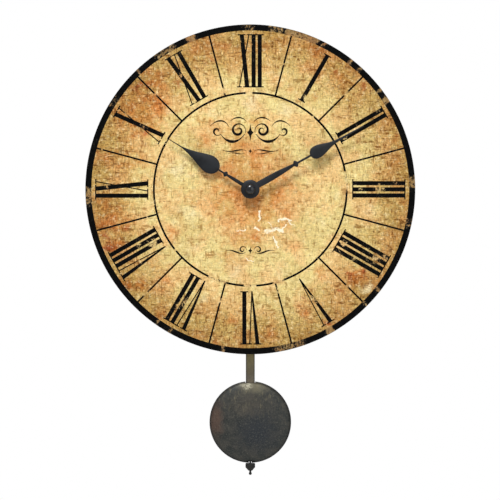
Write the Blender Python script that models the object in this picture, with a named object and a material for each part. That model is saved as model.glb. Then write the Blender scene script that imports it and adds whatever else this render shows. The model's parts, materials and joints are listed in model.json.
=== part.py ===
"""Pendulum wall clock: a printed round dial on a board, spade hands and a quartz pendulum movement.

All lengths below are in millimetres and angles in degrees; meshes are written in metres.
+Z is up, the dial faces -Y and the wall is the plane y = 0. The hands turn about the Y axis.
"""
import math

import bmesh
import bpy
from mathutils import Matrix, Vector

MM = 0.001
GAP = 0.3            # between pieces that rest on each other
FIT = 0.06           # radial clearance of a shaft in its bearing

# ---- dial and what clamps it ----
DIAL_R = 142.5
DIAL_FRONT, DIAL_REAR = -31.3, -25.3
PRINT_R = 142.3
PRINT_FRONT, PRINT_REAR = -31.6, -31.4
DIAL_HOLE_R = 4.4
RUBBER_R, RUBBER_FRONT, RUBBER_REAR = 12.0, -25.2, -24.1
WASHER_R, WASHER_FRONT, WASHER_REAR = 7.0, -32.2, -31.7
NUT_FLATS, NUT_FRONT, NUT_REAR = 11.0, -34.6, -32.3

# ---- movement case ----
CASE_X = 28.5
CASE_TOP, CASE_BOTTOM = 32.0, -68.0
CASE_FRONT, CASE_REAR = -24.0, -1.9
CASE_WALL, CASE_FACE = 1.5, 1.6
CASE_CORNER = 3.0
INNER_FACE = CASE_FRONT + CASE_FACE
COVER_REAR, COVER_FRONT = 0.0, -1.6
LOOP_HALF_WIDTH, LOOP_TOP, LOOP_HOLE_Z, LOOP_HOLE_R = 8.0, 47.0, 39.0, 4.0
LOOP_FRONT, LOOP_REAR = -5.0, -2.2
BUSH_R, BUSH_BORE, BUSH_FRONT, BUSH_REAR = 4.0, 2.62, -36.0, -22.6
SWING_SLOT = (-14.4, -6.6)
PIVOT_BOSS_R, PIVOT_BOSS_REAR, PIVOT_BOSS_COVER = 2.6, -17.5, -5.0
SPOOL_PIN_R, SPOOL_PIN_REAR = 1.4, -15.0
POST_R, BOARD_POST_R, BOARD_POST_X, BOARD_POST_Z = 1.4, 1.5, 21.0, -27.5
CATCH_Z, CATCH_HALF, CATCH_FRONT, CATCH_THICKNESS = (-50.0, 4.0), 4.0, -6.0, 1.0
ROOT = 0.5           # how far a rib, post or boss reaches into the wall that carries it

# ---- battery bay ----
BATTERY_R, BATTERY_Z, BATTERY_Y = 7.1, 20.0, -8.6
BATTERY_HALF, BATTERY_NUB, BATTERY_NUB_R = 25.1, 1.2, 2.6
SHELF_TOP, SHELF_BOTTOM = 12.4, 11.3
WINDOW_BOTTOM, WINDOW_TOP, WINDOW_HALF = 12.6, 27.6, 26.2

# ---- gear train: teeth, modules and the planes the wheels turn in ----
ADDENDUM, DEDENDUM, ROOT_HALF, TIP_HALF = 0.65, 1.0, 0.25, 0.11
CANNON_TEETH, MOTION_TEETH, CANNON_MODULE = 10, 30, 0.6
MOTION_PINION_TEETH, HOUR_TEETH, HOUR_MODULE = 8, 32, 0.6
SECOND_PINION_TEETH, THIRD_TEETH = 6, 45
THIRD_PINION_TEETH, CENTRE_TEETH, CENTRE_MODULE = 6, 48, 0.4
IDLER_PINION_TEETH, SECOND_TEETH, SECOND_MODULE = 8, 48, 0.25
ROTOR_PINION_TEETH, IDLER_TEETH, IDLER_MODULE = 8, 40, 0.25
MOTION_DIRECTION, THIRD_DIRECTION, IDLER_DIRECTION, ROTOR_DIRECTION = -15.0, 195.0, -90.0, -60.0
HOUR_PLANE = (-22.0, -21.0)
MOTION_PLANE = (-20.6, -19.8)
CENTRE_PLANE = (-18.9, -18.1)
THIRD_PLANE = (-17.0, -16.3)
SECOND_PLANE = (-14.6, -13.9)
IDLER_PLANE = (-13.2, -12.5)
ROTOR_PLANE = (-11.8, -10.2)
MIDDLE_PLATE = (-15.9, -15.1)
BRIDGE_PLATE = (-9.4, -8.6)
STATOR_PLATE = (-11.4, -10.6)
BOARD_PLATE = (-6.4, -5.4)
CENTRE_HUB_R, CENTRE_HUB = 3.0, (-19.1, -17.7)
CANNON_PLANE = (-20.8, -19.5)
MOTION_PINION = (-22.1, -20.3)
THIRD_PINION = (-19.1, -16.8)
SECOND_PINION = (-17.1, -14.3)
IDLER_PINION = (-14.8, -12.9)
ROTOR_PINION = (-13.5, -12.1)
PIVOT_SOCKET, SOCKET_END, MIDDLE_END, BRIDGE_END = -23.4, -23.2, -15.8, -8.7
MIDDLE_OUTLINE = (-23.5, 22.5, -18.0, 10.8)
BRIDGE_OUTLINE = (-12.0, 20.0, -16.0, 8.5)
BOARD_OUTLINE = (-24.0, 24.0, -30.0, -10.5)
CHIP_PLACE, CRYSTAL_PLACE = (-8.0, -21.0), (8.0, -16.0)
PLATE_CORNER = 2.0
CASE_POSTS = ((-20.5, 8.3), (19.5, 8.3), (-16.0, -15.5), (16.5, -15.5))
BRIDGE_PILLARS = ((-9.5, 4.5), (9.5, 6.0), (-9.5, -6.5), (17.5, -6.0))

# ---- arbors and tubes on the hand axis ----
SECOND_ARBOR_R, SECOND_ARBOR_FRONT = 0.55, -24.0
MINUTE_TUBE_R, MINUTE_TUBE_FRONT, MINUTE_TUBE_REAR = 1.75, -43.4, -17.4
HOUR_TUBE_R, HOUR_TUBE_BORE, HOUR_TUBE_FRONT = 2.55, 1.83, -38.4
MOTION_ARBOR_R, MOTION_ARBOR_REAR, THIRD_ARBOR_R, SMALL_ARBOR_R = 0.6, -1.4, 0.35, 0.3
KNOB_R, KNOB_REAR, KNOB_FRONT, KNOB_HOLE_R = 4.9, -0.4, -3.6, 5.4
KNOB_SHANK_R, KNOB_SHANK_FRONT, KNOB_SOCKET = 1.6, -7.0, -1.2
ROTOR_R, STATOR_BORE = 2.4, 2.9

# ---- hands ----
HOUR_ANGLE, MINUTE_ANGLE = 301.6, 60.8      # clockwise from twelve
HOUR_BLADE = (-37.9, -37.2)
MINUTE_BLADE = (-41.0, -40.3)
MINUTE_BOSS_FRONT, MINUTE_BOSS_R, HOUR_BOSS_R = -41.8, 8.1, 6.0
CAP_R, CAP_REAR, CAP_FRONT = 4.25, -42.0, -45.8

# ---- pendulum ----
PIVOT_Z, PIVOT_PIN_R, PIVOT_PIN_REAR, SWING = -34.0, 1.0, -2.4, 8.0
LEADER_PLATE = (-10.8, -9.2)
LEADER_HALF, LEADER_EYE_R, LEADER_BOTTOM = 3.5, 4.0, -77.0
MAGNET_Z, MAGNET_R, MAGNET_PLANE = -56.0, 4.0, (-12.0, -9.0)
HOOK_HALF, HOOK_LIP, HOOK_TONGUE, HOOK_LIP_TOP = 1.8, (-14.2, -13.2), -75.4, -72.0
ROD_HALF, ROD_PLANE, ROD_TOP, ROD_BOTTOM = 3.85, (-12.4, -11.6), -71.0, -212.0
ROD_WINDOW = (-80.0, -75.1)
ROD_Y = -12.0
STEM_R, STEM_TOP, STEM_BALL_R, STEM_BALL_Z = 0.95, -213.5, 1.3, -246.1
STEM_TAB, STEM_TAB_Z = (-13.3, -12.6), (-217.0, -199.0)
STEM_RIVETS_Z = (-202.5, -208.5)
RIVET_R, RIVET_HEAD_R, RIVET_HEAD = 0.8, 1.5, 0.6

# ---- bob and rating nut ----
BOB_Z, BOB_R, BOB_SHEET = -201.5, 35.35, 0.7
BOB_REAR, BOB_EDGE, BOB_PEAK = -8.0, -11.6, -17.4
BOB_SLOT_FRONT, ROD_SLOT_HALF, STEM_SLOT_HALF = -13.4, 4.3, 1.6
CROWN_REACH, CROWN_STEP = 0.97, 1.2      # the dome's share of the radius, and its start behind the rim
BOB_PLATE, BOB_PLATE_R = (-8.8, -8.1), 34.3
CLIP_HALF, CLIP_SHEET, CLIP_RIVET_Z = 3.0, 0.4, -179.0
NUT_TOP, NUT_SHOULDER, NUT_TIP, RATING_NUT_R = -237.1, -241.1, -243.6, 4.2


# ------------------------------------------------------------------ points

def circle(x, z, radius, segments, start=0.0):
    """Points of a circle in the XZ plane."""
    step = 2 * math.pi / segments
    return [(x + radius * math.cos(start + step * i), z + radius * math.sin(start + step * i))
            for i in range(segments)]


def arc(x, z, radius_x, radius_z, first, last, segments):
    """Points of an elliptical arc, both ends included, angles in degrees from +X."""
    angles = [math.radians(first + (last - first) * i / segments) for i in range(segments + 1)]
    return [(x + radius_x * math.cos(a), z + radius_z * math.sin(a)) for a in angles]


def bezier(p0, p1, p2, p3, segments):
    """Points of a cubic curve, without its first point."""
    points = []
    for i in range(1, segments + 1):
        t = i / segments
        weights = ((1 - t) ** 3, 3 * t * (1 - t) ** 2, 3 * t * t * (1 - t), t ** 3)
        points.append(tuple(sum(w * p[k] for w, p in zip(weights, (p0, p1, p2, p3))) for k in (0, 1)))
    return points


def rectangle(x0, x1, z0, z1):
    return [(x0, z0), (x1, z0), (x1, z1), (x0, z1)]


def rounded_rectangle(x0, x1, z0, z1, radius, segments=4):
    """A rectangle with round corners, anticlockwise."""
    corners = ((x1 - radius, z0 + radius, -90), (x1 - radius, z1 - radius, 0),
               (x0 + radius, z1 - radius, 90), (x0 + radius, z0 + radius, 180))
    points = []
    for x, z, first in corners:
        points += arc(x, z, radius, radius, first, first + 90, segments)
    return points


def polar(x, z, distance, degrees):
    angle = math.radians(degrees)
    return x + distance * math.cos(angle), z + distance * math.sin(angle)


# ------------------------------------------------------------------ solids

def prism(outline, planes, holes=()):
    """A flat piece in the XZ plane between two y values, with holes through it."""
    bm = bmesh.new()
    for loop in (outline, *holes):
        verts = [bm.verts.new((x, planes[0], z)) for x, z in loop]
        for i, vert in enumerate(verts):
            bm.edges.new((vert, verts[(i + 1) % len(verts)]))
    bmesh.ops.triangle_fill(bm, edges=bm.edges[:], use_beauty=True)
    grown = bmesh.ops.extrude_face_region(bm, geom=bm.faces[:])
    moved = [item for item in grown["geom"] if isinstance(item, bmesh.types.BMVert)]
    bmesh.ops.translate(bm, verts=moved, vec=(0, planes[1] - planes[0], 0))
    bmesh.ops.recalc_face_normals(bm, faces=bm.faces[:])
    return bm


def block(x, y, z):
    """A box from (low, high) pairs."""
    return prism(rectangle(x[0], x[1], z[0], z[1]), y)


def turned(profile, segments, axis="Y", closed=True):
    """A profile of (radius, height) turned about an axis; closed is False when it ends on the axis."""
    bm = bmesh.new()
    rings = []
    for radius, height in profile:
        count = 1 if radius == 0 else segments
        ring = []
        for i in range(count):
            angle = 2 * math.pi * i / segments
            across, along = radius * math.cos(angle), radius * math.sin(angle)
            point = (across, height, along) if axis == "Y" else (across, along, height)
            ring.append(bm.verts.new(point))
        rings.append(ring)
    pairs = list(zip(rings, rings[1:]))
    if closed:
        pairs.append((rings[-1], rings[0]))
    for low, high in pairs:
        for i in range(segments):
            j = (i + 1) % segments
            corners = [low[i % len(low)], low[j % len(low)], high[j % len(high)], high[i % len(high)]]
            unique = list(dict.fromkeys(corners))
            bm.faces.new(unique)
    bmesh.ops.recalc_face_normals(bm, faces=bm.faces[:])
    return bm


def rod(x, z, radius, planes, segments=16):
    """A round bar along Y."""
    return prism(circle(x, z, radius, segments), planes)


def gear_outline(teeth, module, phase, x=0.0, z=0.0):
    """Stub teeth with four points each; phase is the angle of one tooth in radians."""
    pitch = 2 * math.pi / teeth
    radius = teeth * module / 2
    root, tip = radius - DEDENDUM * module, radius + ADDENDUM * module
    points = []
    for i in range(teeth):
        middle = phase + pitch * i
        for r, half in ((root, -ROOT_HALF), (tip, -TIP_HALF), (tip, TIP_HALF), (root, ROOT_HALF)):
            angle = middle + half * pitch
            points.append((x + r * math.cos(angle), z + r * math.sin(angle)))
    return points


def mesh_phase(teeth, phase, degrees, other_teeth):
    """Phase that puts a second gear in mesh with a first one, seen from the first at that angle."""
    direction = math.radians(degrees)
    past = ((direction - phase) * teeth / (2 * math.pi)) % 1
    return direction + math.pi - (2 * math.pi / other_teeth) * (0.5 - past)


def body(bm, name="tool", place=(0.0, 0.0, 0.0)):
    """An object in metres whose origin is at place, from a bmesh in millimetres."""
    to_origin = Matrix.Scale(MM, 4) @ Matrix.Translation(-Vector(place))
    bmesh.ops.transform(bm, matrix=to_origin, verts=bm.verts[:])
    mesh = bpy.data.meshes.new(name)
    bm.to_mesh(mesh)
    bm.free()
    made = bpy.data.objects.new(name, mesh)
    bpy.context.scene.collection.objects.link(made)
    made.location = Vector(place) * MM
    return made


def combine(target, operation, *tools):
    """Join solids to the target or cut them out of it, and remove them."""
    for bm in tools:
        tool = body(bm)
        modifier = target.modifiers.new("combine", "BOOLEAN")
        modifier.operation = operation
        modifier.solver = "EXACT"
        modifier.object = tool
        bpy.context.view_layer.update()
        result = bpy.data.meshes.new_from_object(target.evaluated_get(bpy.context.evaluated_depsgraph_get()))
        target.modifiers.remove(modifier)
        target.data = result
        bpy.data.objects.remove(tool)
    merge_flat_faces(target.data)
    return target


def merge_flat_faces(mesh):
    """Dissolve the edges that cuts leave across flat faces."""
    bm = bmesh.new()
    bm.from_mesh(mesh)
    bmesh.ops.dissolve_limit(bm, angle_limit=math.radians(0.1), verts=bm.verts[:], edges=bm.edges[:])
    bm.to_mesh(mesh)
    bm.free()


def finish(made, name, colour, roughness, metallic=0.0, angle=35.0):
    """Name a piece, shade it and give it its own material."""
    made.name = name
    made.data.name = name
    made.data.shade_smooth()
    made.data.set_sharp_from_angle(angle=math.radians(angle))
    material = bpy.data.materials.new(name)
    material.use_nodes = True
    shader = material.node_tree.nodes["Principled BSDF"]
    shader.inputs["Base Color"].default_value = (*colour, 1.0)
    shader.inputs["Roughness"].default_value = roughness
    shader.inputs["Metallic"].default_value = metallic
    made.data.materials.clear()
    made.data.materials.append(material)
    return made


# ------------------------------------------------------------------ places that follow from the teeth

CENTRE_DISTANCE = (THIRD_PINION_TEETH + CENTRE_TEETH) * CENTRE_MODULE / 2
THIRD_MODULE = 2 * CENTRE_DISTANCE / (SECOND_PINION_TEETH + THIRD_TEETH)
MOTION_AXIS = polar(0, 0, (CANNON_TEETH + MOTION_TEETH) * CANNON_MODULE / 2, MOTION_DIRECTION)
THIRD_AXIS = polar(0, 0, CENTRE_DISTANCE, THIRD_DIRECTION)
IDLER_AXIS = polar(0, 0, (SECOND_TEETH + IDLER_PINION_TEETH) * SECOND_MODULE / 2, IDLER_DIRECTION)
ROTOR_AXIS = polar(*IDLER_AXIS, (IDLER_TEETH + ROTOR_PINION_TEETH) * IDLER_MODULE / 2, ROTOR_DIRECTION)

BLACK_PLASTIC = (0.018, 0.018, 0.020)
WHITE_PLASTIC = (0.74, 0.72, 0.66)
BRASS = (0.72, 0.52, 0.23)
STEEL = (0.56, 0.56, 0.57)
COPPER = (0.62, 0.27, 0.13)
HAND_BLACK = (0.020, 0.024, 0.030)
AGED_METAL = (0.075, 0.075, 0.062)


# ------------------------------------------------------------------ dial

def make_dial_board():
    board = body(prism(circle(0, 0, DIAL_R, 96), (DIAL_FRONT, DIAL_REAR), [circle(0, 0, DIAL_HOLE_R, 24)]))
    finish(board, "dial_board", (0.05, 0.04, 0.035), 0.7)


def make_dial_print():
    sheet = body(prism(circle(0, 0, PRINT_R, 96), (PRINT_FRONT, PRINT_REAR), [circle(0, 0, DIAL_HOLE_R, 24)]))
    finish(sheet, "dial_print", (0.78, 0.52, 0.22), 0.6)


def make_rubber_washer():
    ring = prism(circle(0, 0, RUBBER_R, 40), (RUBBER_FRONT, RUBBER_REAR), [circle(0, 0, DIAL_HOLE_R, 24)])
    finish(body(ring), "rubber_washer", (0.03, 0.03, 0.03), 0.85)


def make_brass_washer():
    ring = prism(circle(0, 0, WASHER_R, 32), (WASHER_FRONT, WASHER_REAR), [circle(0, 0, DIAL_HOLE_R, 24)])
    finish(body(ring), "brass_washer", BRASS, 0.3, 1.0)


def make_hex_nut():
    corner = NUT_FLATS / math.sqrt(3)
    nut = body(prism(circle(0, 0, corner, 6), (NUT_FRONT, NUT_REAR), [circle(0, 0, BUSH_R + 0.1, 24)]))
    finish(nut, "hex_nut", BRASS, 0.3, 1.0)


# ------------------------------------------------------------------ movement case and its fittings

def make_movement_case():
    outer = rounded_rectangle(-CASE_X, CASE_X, CASE_BOTTOM, CASE_TOP, CASE_CORNER)
    inner = rounded_rectangle(-CASE_X + CASE_WALL, CASE_X - CASE_WALL, CASE_BOTTOM + CASE_WALL,
                              CASE_TOP - CASE_WALL, CASE_CORNER - CASE_WALL)
    case = body(prism(outer, (CASE_FRONT, CASE_REAR)))
    combine(case, "DIFFERENCE", prism(inner, (INNER_FACE, CASE_REAR + 1)))
    loop_top = LOOP_TOP - LOOP_HALF_WIDTH
    loop = arc(0, loop_top, LOOP_HALF_WIDTH, LOOP_HALF_WIDTH, 0, 180, 12)
    loop = [(LOOP_HALF_WIDTH, CASE_TOP - 1), *loop, (-LOOP_HALF_WIDTH, CASE_TOP - 1)]
    root = INNER_FACE - ROOT
    ribs = [prism(loop, (LOOP_FRONT, LOOP_REAR), [circle(0, LOOP_HOLE_Z, LOOP_HOLE_R, 20)]),
            block((-CASE_X + 1, CASE_X - 1), (root, CASE_REAR - 0.4), (SHELF_BOTTOM, SHELF_TOP)),
            rod(0, PIVOT_Z, PIVOT_BOSS_R, (root, PIVOT_BOSS_REAR)),
            rod(0, MAGNET_Z, SPOOL_PIN_R, (root, SPOOL_PIN_REAR))]
    ribs += [rod(x, z, POST_R, (root, MIDDLE_PLATE[0] - GAP)) for x, z in CASE_POSTS]
    combine(case, "UNION", *ribs)
    slot_half = (PIVOT_Z - CASE_BOTTOM) * math.sin(math.radians(SWING)) + LEADER_HALF + 0.8
    cuts = [rod(0, 0, BUSH_R + 0.1, (CASE_FRONT - 1, INNER_FACE + 1), 24),
            rod(*THIRD_AXIS, THIRD_ARBOR_R + FIT, (PIVOT_SOCKET, INNER_FACE + 1), 12),
            rod(*MOTION_AXIS, MOTION_ARBOR_R + FIT, (PIVOT_SOCKET, INNER_FACE + 1), 12),
            rod(0, PIVOT_Z, PIVOT_PIN_R + FIT, (PIVOT_SOCKET, PIVOT_BOSS_REAR + 0.5), 12),
            block((-slot_half, slot_half), SWING_SLOT, (CASE_BOTTOM - 1, CASE_BOTTOM + CASE_WALL + 1))]
    combine(case, "DIFFERENCE", *cuts)
    finish(case, "movement_case", BLACK_PLASTIC, 0.5)


def make_centre_bush():
    bush = prism(circle(0, 0, BUSH_R, 32), (BUSH_FRONT, BUSH_REAR), [circle(0, 0, BUSH_BORE, 32)])
    finish(body(bush), "centre_bush", BRASS, 0.32, 1.0)


def make_back_cover():
    outer = rounded_rectangle(-CASE_X, CASE_X, CASE_BOTTOM, CASE_TOP, CASE_CORNER)
    window = rounded_rectangle(-WINDOW_HALF, WINDOW_HALF, WINDOW_BOTTOM, WINDOW_TOP, 1.0, 2)
    cover = body(prism(outer, (COVER_FRONT, COVER_REAR), [window, circle(*MOTION_AXIS, KNOB_HOLE_R, 28)]))
    root = COVER_FRONT + ROOT
    catch_x = CASE_X - CASE_WALL - GAP
    posts = [rod(0, PIVOT_Z, PIVOT_BOSS_R, (PIVOT_BOSS_COVER, root))]
    for side in (-1, 1):
        posts.append(rod(side * BOARD_POST_X, BOARD_POST_Z, BOARD_POST_R, (BOARD_PLATE[1] + GAP, root), 12))
        edge = sorted((side * catch_x, side * (catch_x - CATCH_THICKNESS)))
        posts += [block(edge, (CATCH_FRONT, root), (z - CATCH_HALF, z + CATCH_HALF)) for z in CATCH_Z]
    combine(cover, "UNION", *posts)
    combine(cover, "DIFFERENCE", rod(0, PIVOT_Z, PIVOT_PIN_R + FIT, (PIVOT_BOSS_COVER - 0.5, -2.2), 12))
    finish(cover, "back_cover", BLACK_PLASTIC, 0.45)


def make_middle_plate():
    bearings = [circle(0, 0, 1.8, 20), circle(*THIRD_AXIS, THIRD_ARBOR_R + FIT, 12),
                circle(*IDLER_AXIS, SMALL_ARBOR_R + FIT, 12), circle(*ROTOR_AXIS, SMALL_ARBOR_R + FIT, 12),
                circle(*MOTION_AXIS, MOTION_ARBOR_R + FIT, 12)]
    plate = body(prism(rounded_rectangle(*MIDDLE_OUTLINE, PLATE_CORNER, 3), MIDDLE_PLATE, bearings))
    pillars = [rod(x, z, 1.1, (MIDDLE_PLATE[1] - 0.4, BRIDGE_PLATE[0] - GAP), 12) for x, z in BRIDGE_PILLARS]
    combine(plate, "UNION", *pillars)
    finish(plate, "middle_plate", WHITE_PLASTIC, 0.5)


def make_train_bridge():
    bearings = [circle(0, 0, SECOND_ARBOR_R + FIT, 12), circle(*IDLER_AXIS, SMALL_ARBOR_R + FIT, 12),
                circle(*ROTOR_AXIS, SMALL_ARBOR_R + FIT, 12), circle(*MOTION_AXIS, MOTION_ARBOR_R + FIT, 12)]
    plate = prism(rounded_rectangle(*BRIDGE_OUTLINE, PLATE_CORNER, 3), BRIDGE_PLATE, bearings)
    finish(body(plate), "train_bridge", WHITE_PLASTIC, 0.5)


def make_circuit_board():
    board = prism(rectangle(*BOARD_OUTLINE), BOARD_PLATE)
    finish(body(board), "circuit_board", (0.05, 0.22, 0.09), 0.4)


def make_control_chip():
    rear = BOARD_PLATE[1]
    dome = [(0, rear + 1.5), (2.2, rear + 1.3), (3.6, rear + 0.8), (4.0, rear + 0.1), (0, rear + 0.1)]
    chip = turned(dome, 20, closed=False)
    bmesh.ops.translate(chip, verts=chip.verts[:], vec=(CHIP_PLACE[0], 0, CHIP_PLACE[1]))
    finish(body(chip), "control_chip", (0.015, 0.015, 0.015), 0.3)


def make_quartz_crystal():
    can = turned([(0, -4.0), (1.5, -4.0), (1.5, 3.7), (1.2, 4.0), (0, 4.0)], 16, closed=False)
    bmesh.ops.rotate(can, matrix=Matrix.Rotation(math.radians(90), 3, "Z"), verts=can.verts[:])
    lying = (CRYSTAL_PLACE[0], BOARD_PLATE[1] + 1.7, CRYSTAL_PLACE[1])
    bmesh.ops.translate(can, verts=can.verts[:], vec=lying)
    finish(body(can), "quartz_crystal", STEEL, 0.25, 1.0)


# ------------------------------------------------------------------ coils

STATOR_X, STATOR_Z = (-11.0, 17.0), (-24.5, -8.8)
CORE_Z = (-24.5, -22.0)
COIL_X = (-5.5, 11.5)


def make_stepper_stator():
    window = rectangle(-7.0, 13.0, CORE_Z[1], -17.4)
    plate = prism(rounded_rectangle(*STATOR_X, *STATOR_Z, 1.5, 2), STATOR_PLATE,
                  [window, circle(*ROTOR_AXIS, STATOR_BORE, 24)])
    finish(body(plate), "stepper_stator", STEEL, 0.4, 1.0)


def core_sleeve(x, grow_out, grow_in):
    """A square sleeve around the stator's core, open along X."""
    y = (STATOR_PLATE[0], STATOR_PLATE[1])
    z = CORE_Z
    sleeve = body(block(x, (y[0] - grow_out, y[1] + grow_out), (z[0] - grow_out, z[1] + grow_out)))
    bore = block((x[0] - 1, x[1] + 1), (y[0] - grow_in, y[1] + grow_in), (z[0] - grow_in, z[1] + grow_in))
    return combine(sleeve, "DIFFERENCE", bore)


def make_stepper_bobbin():
    bobbin = core_sleeve(COIL_X, 2.6, 0.3)
    x = (COIL_X[0] + 0.7, COIL_X[1] - 0.7)
    y = (STATOR_PLATE[0] - 0.8, STATOR_PLATE[1] + 0.8)
    z = (CORE_Z[0] - 0.8, CORE_Z[1] + 0.8)
    for side in (-1, 1):
        far_y = sorted((y[(side + 1) // 2], y[(side + 1) // 2] + side * 4))
        far_z = sorted((z[(side + 1) // 2], z[(side + 1) // 2] + side * 4))
        combine(bobbin, "DIFFERENCE", block(x, far_y, (z[0] - 4, z[1] + 4)))
        combine(bobbin, "DIFFERENCE", block(x, (y[0] - 4, y[1] + 4), far_z))
    finish(bobbin, "stepper_bobbin", (0.55, 0.16, 0.10), 0.5)


def make_stepper_winding():
    winding = core_sleeve((COIL_X[0] + 0.8, COIL_X[1] - 0.8), 2.3, 0.9)
    finish(winding, "stepper_winding", COPPER, 0.35, 0.8)


def make_drive_bobbin():
    spool = [(1.5, -20.0), (6.6, -20.0), (6.6, -19.4), (2.4, -19.4), (2.4, -14.0), (6.6, -14.0), (6.6, -13.4),
             (1.5, -13.4)]
    bobbin = body(turned(spool, 20))
    bobbin.location.z = MAGNET_Z * MM
    finish(bobbin, "drive_bobbin", WHITE_PLASTIC, 0.5)


def make_drive_winding():
    coil = body(turned([(2.5, -19.3), (6.1, -19.3), (6.1, -14.1), (2.5, -14.1)], 20))
    coil.location.z = MAGNET_Z * MM
    finish(coil, "drive_winding", COPPER, 0.35, 0.8)


# ------------------------------------------------------------------ battery

def make_battery():
    nub, half = BATTERY_NUB, BATTERY_HALF
    profile = [(0, -half), (BATTERY_NUB_R, -half), (BATTERY_NUB_R, -half + nub),
               (BATTERY_R - 0.6, -half + nub), (BATTERY_R, -half + nub + 0.6), (BATTERY_R, half - 0.5),
               (BATTERY_R - 0.5, half), (0, half)]
    cell = turned(profile, 28, closed=False)
    bmesh.ops.rotate(cell, matrix=Matrix.Rotation(math.radians(-90), 3, "Z"), verts=cell.verts[:])
    bmesh.ops.translate(cell, verts=cell.verts[:], vec=(0, BATTERY_Y, BATTERY_Z))
    finish(body(cell), "battery", (0.30, 0.30, 0.31), 0.35, 0.6)


def make_battery_contacts():
    half = CASE_X - CASE_WALL
    plate = block((-half + 0.5, -half + 0.9), (BATTERY_Y - 5.5, BATTERY_Y + 5.5),
                  (BATTERY_Z - 5, BATTERY_Z + 5))
    finish(body(plate), "battery_contact_positive", STEEL, 0.3, 1.0)
    strip = [(half - 0.3, BATTERY_Z - 5), (half - 0.3, BATTERY_Z + 5), (half - 0.7, BATTERY_Z + 5),
             (half - 0.7, BATTERY_Z + 1.4), (half - 1.6, BATTERY_Z), (half - 0.7, BATTERY_Z - 1.4),
             (half - 0.7, BATTERY_Z - 5)]
    spring = prism(strip, (BATTERY_Y - 5.5, BATTERY_Y + 5.5))
    finish(body(spring), "battery_contact_negative", STEEL, 0.3, 1.0)


# ------------------------------------------------------------------ hands and motion work

def make_hour_wheel():
    phase = math.radians(MOTION_DIRECTION)
    wheel = body(prism(gear_outline(HOUR_TEETH, HOUR_MODULE, phase), HOUR_PLANE, [circle(0, 0, 2.2, 24)]))
    tube = prism(circle(0, 0, HOUR_TUBE_R, 32), (HOUR_TUBE_FRONT, HOUR_PLANE[1] - 0.05),
                 [circle(0, 0, HOUR_TUBE_BORE, 32)])
    combine(wheel, "UNION", tube)
    finish(wheel, "hour_wheel", WHITE_PLASTIC, 0.45)


def make_minute_tube():
    tube = body(prism(circle(0, 0, MINUTE_TUBE_R, 28), (MINUTE_TUBE_FRONT, MINUTE_TUBE_REAR),
                      [circle(0, 0, SECOND_ARBOR_R + FIT, 20)]))
    outline = gear_outline(CANNON_TEETH, CANNON_MODULE, math.radians(MOTION_DIRECTION))
    combine(tube, "UNION", prism(outline, CANNON_PLANE, [circle(0, 0, 1.2, 20)]))
    finish(tube, "minute_tube", BRASS, 0.35, 1.0)


def make_motion_wheel():
    direction = math.radians(MOTION_DIRECTION)
    wheel_phase = mesh_phase(CANNON_TEETH, direction, MOTION_DIRECTION, MOTION_TEETH)
    pinion_phase = mesh_phase(HOUR_TEETH, direction, MOTION_DIRECTION, MOTION_PINION_TEETH)
    place = (MOTION_AXIS[0], 0, MOTION_AXIS[1])
    wheel = body(prism(gear_outline(MOTION_TEETH, CANNON_MODULE, wheel_phase, *MOTION_AXIS), MOTION_PLANE),
                 place=place)
    pinion = prism(gear_outline(MOTION_PINION_TEETH, HOUR_MODULE, pinion_phase, *MOTION_AXIS), MOTION_PINION)
    combine(wheel, "UNION", pinion, rod(*MOTION_AXIS, MOTION_ARBOR_R, (SOCKET_END, MOTION_ARBOR_REAR), 12))
    finish(wheel, "motion_wheel", WHITE_PLASTIC, 0.45)


def make_setting_knob():
    profile = [(0, KNOB_REAR), (KNOB_R - 0.6, KNOB_REAR), (KNOB_R, KNOB_REAR - 0.6), (KNOB_R, KNOB_FRONT),
               (KNOB_SHANK_R, KNOB_FRONT), (KNOB_SHANK_R, KNOB_SHANK_FRONT),
               (MOTION_ARBOR_R + FIT, KNOB_SHANK_FRONT), (MOTION_ARBOR_R + FIT, KNOB_SOCKET),
               (0, KNOB_SOCKET)]
    knob = body(turned(profile, 24, closed=False))
    knob.location.x, knob.location.z = MOTION_AXIS[0] * MM, MOTION_AXIS[1] * MM
    finish(knob, "setting_knob", (0.60, 0.59, 0.56), 0.45)


def make_hour_hand():
    """Spade blade from the boss at the origin out to its tip, then turned to its hour."""
    boss = arc(0, 0, HOUR_BOSS_R, HOUR_BOSS_R, -90, 78, 10)
    stem = bezier(boss[-1], (1.55, 13.0), (1.5, 19.0), (1.0, 23.4), 5)
    knot = arc(0, 25.0, 2.45, 1.7, -50, 50, 6)
    neck = [(0.75, 27.2), (0.75, 32.0)]
    base = arc(0, 41.0, 7.8, 9.0, -75, 0, 7)
    flank = bezier((7.8, 41.0), (7.8, 47.0), (2.6, 55.5), (0.9, 67.4), 8)
    tip = [(0.5, 70.5), (0.28, 83.0)]
    make_hand("hour_hand", boss + stem + knot + neck + base + flank + tip, HOUR_BLADE, HOUR_ANGLE,
              HOUR_TUBE_R + 0.1)


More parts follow.
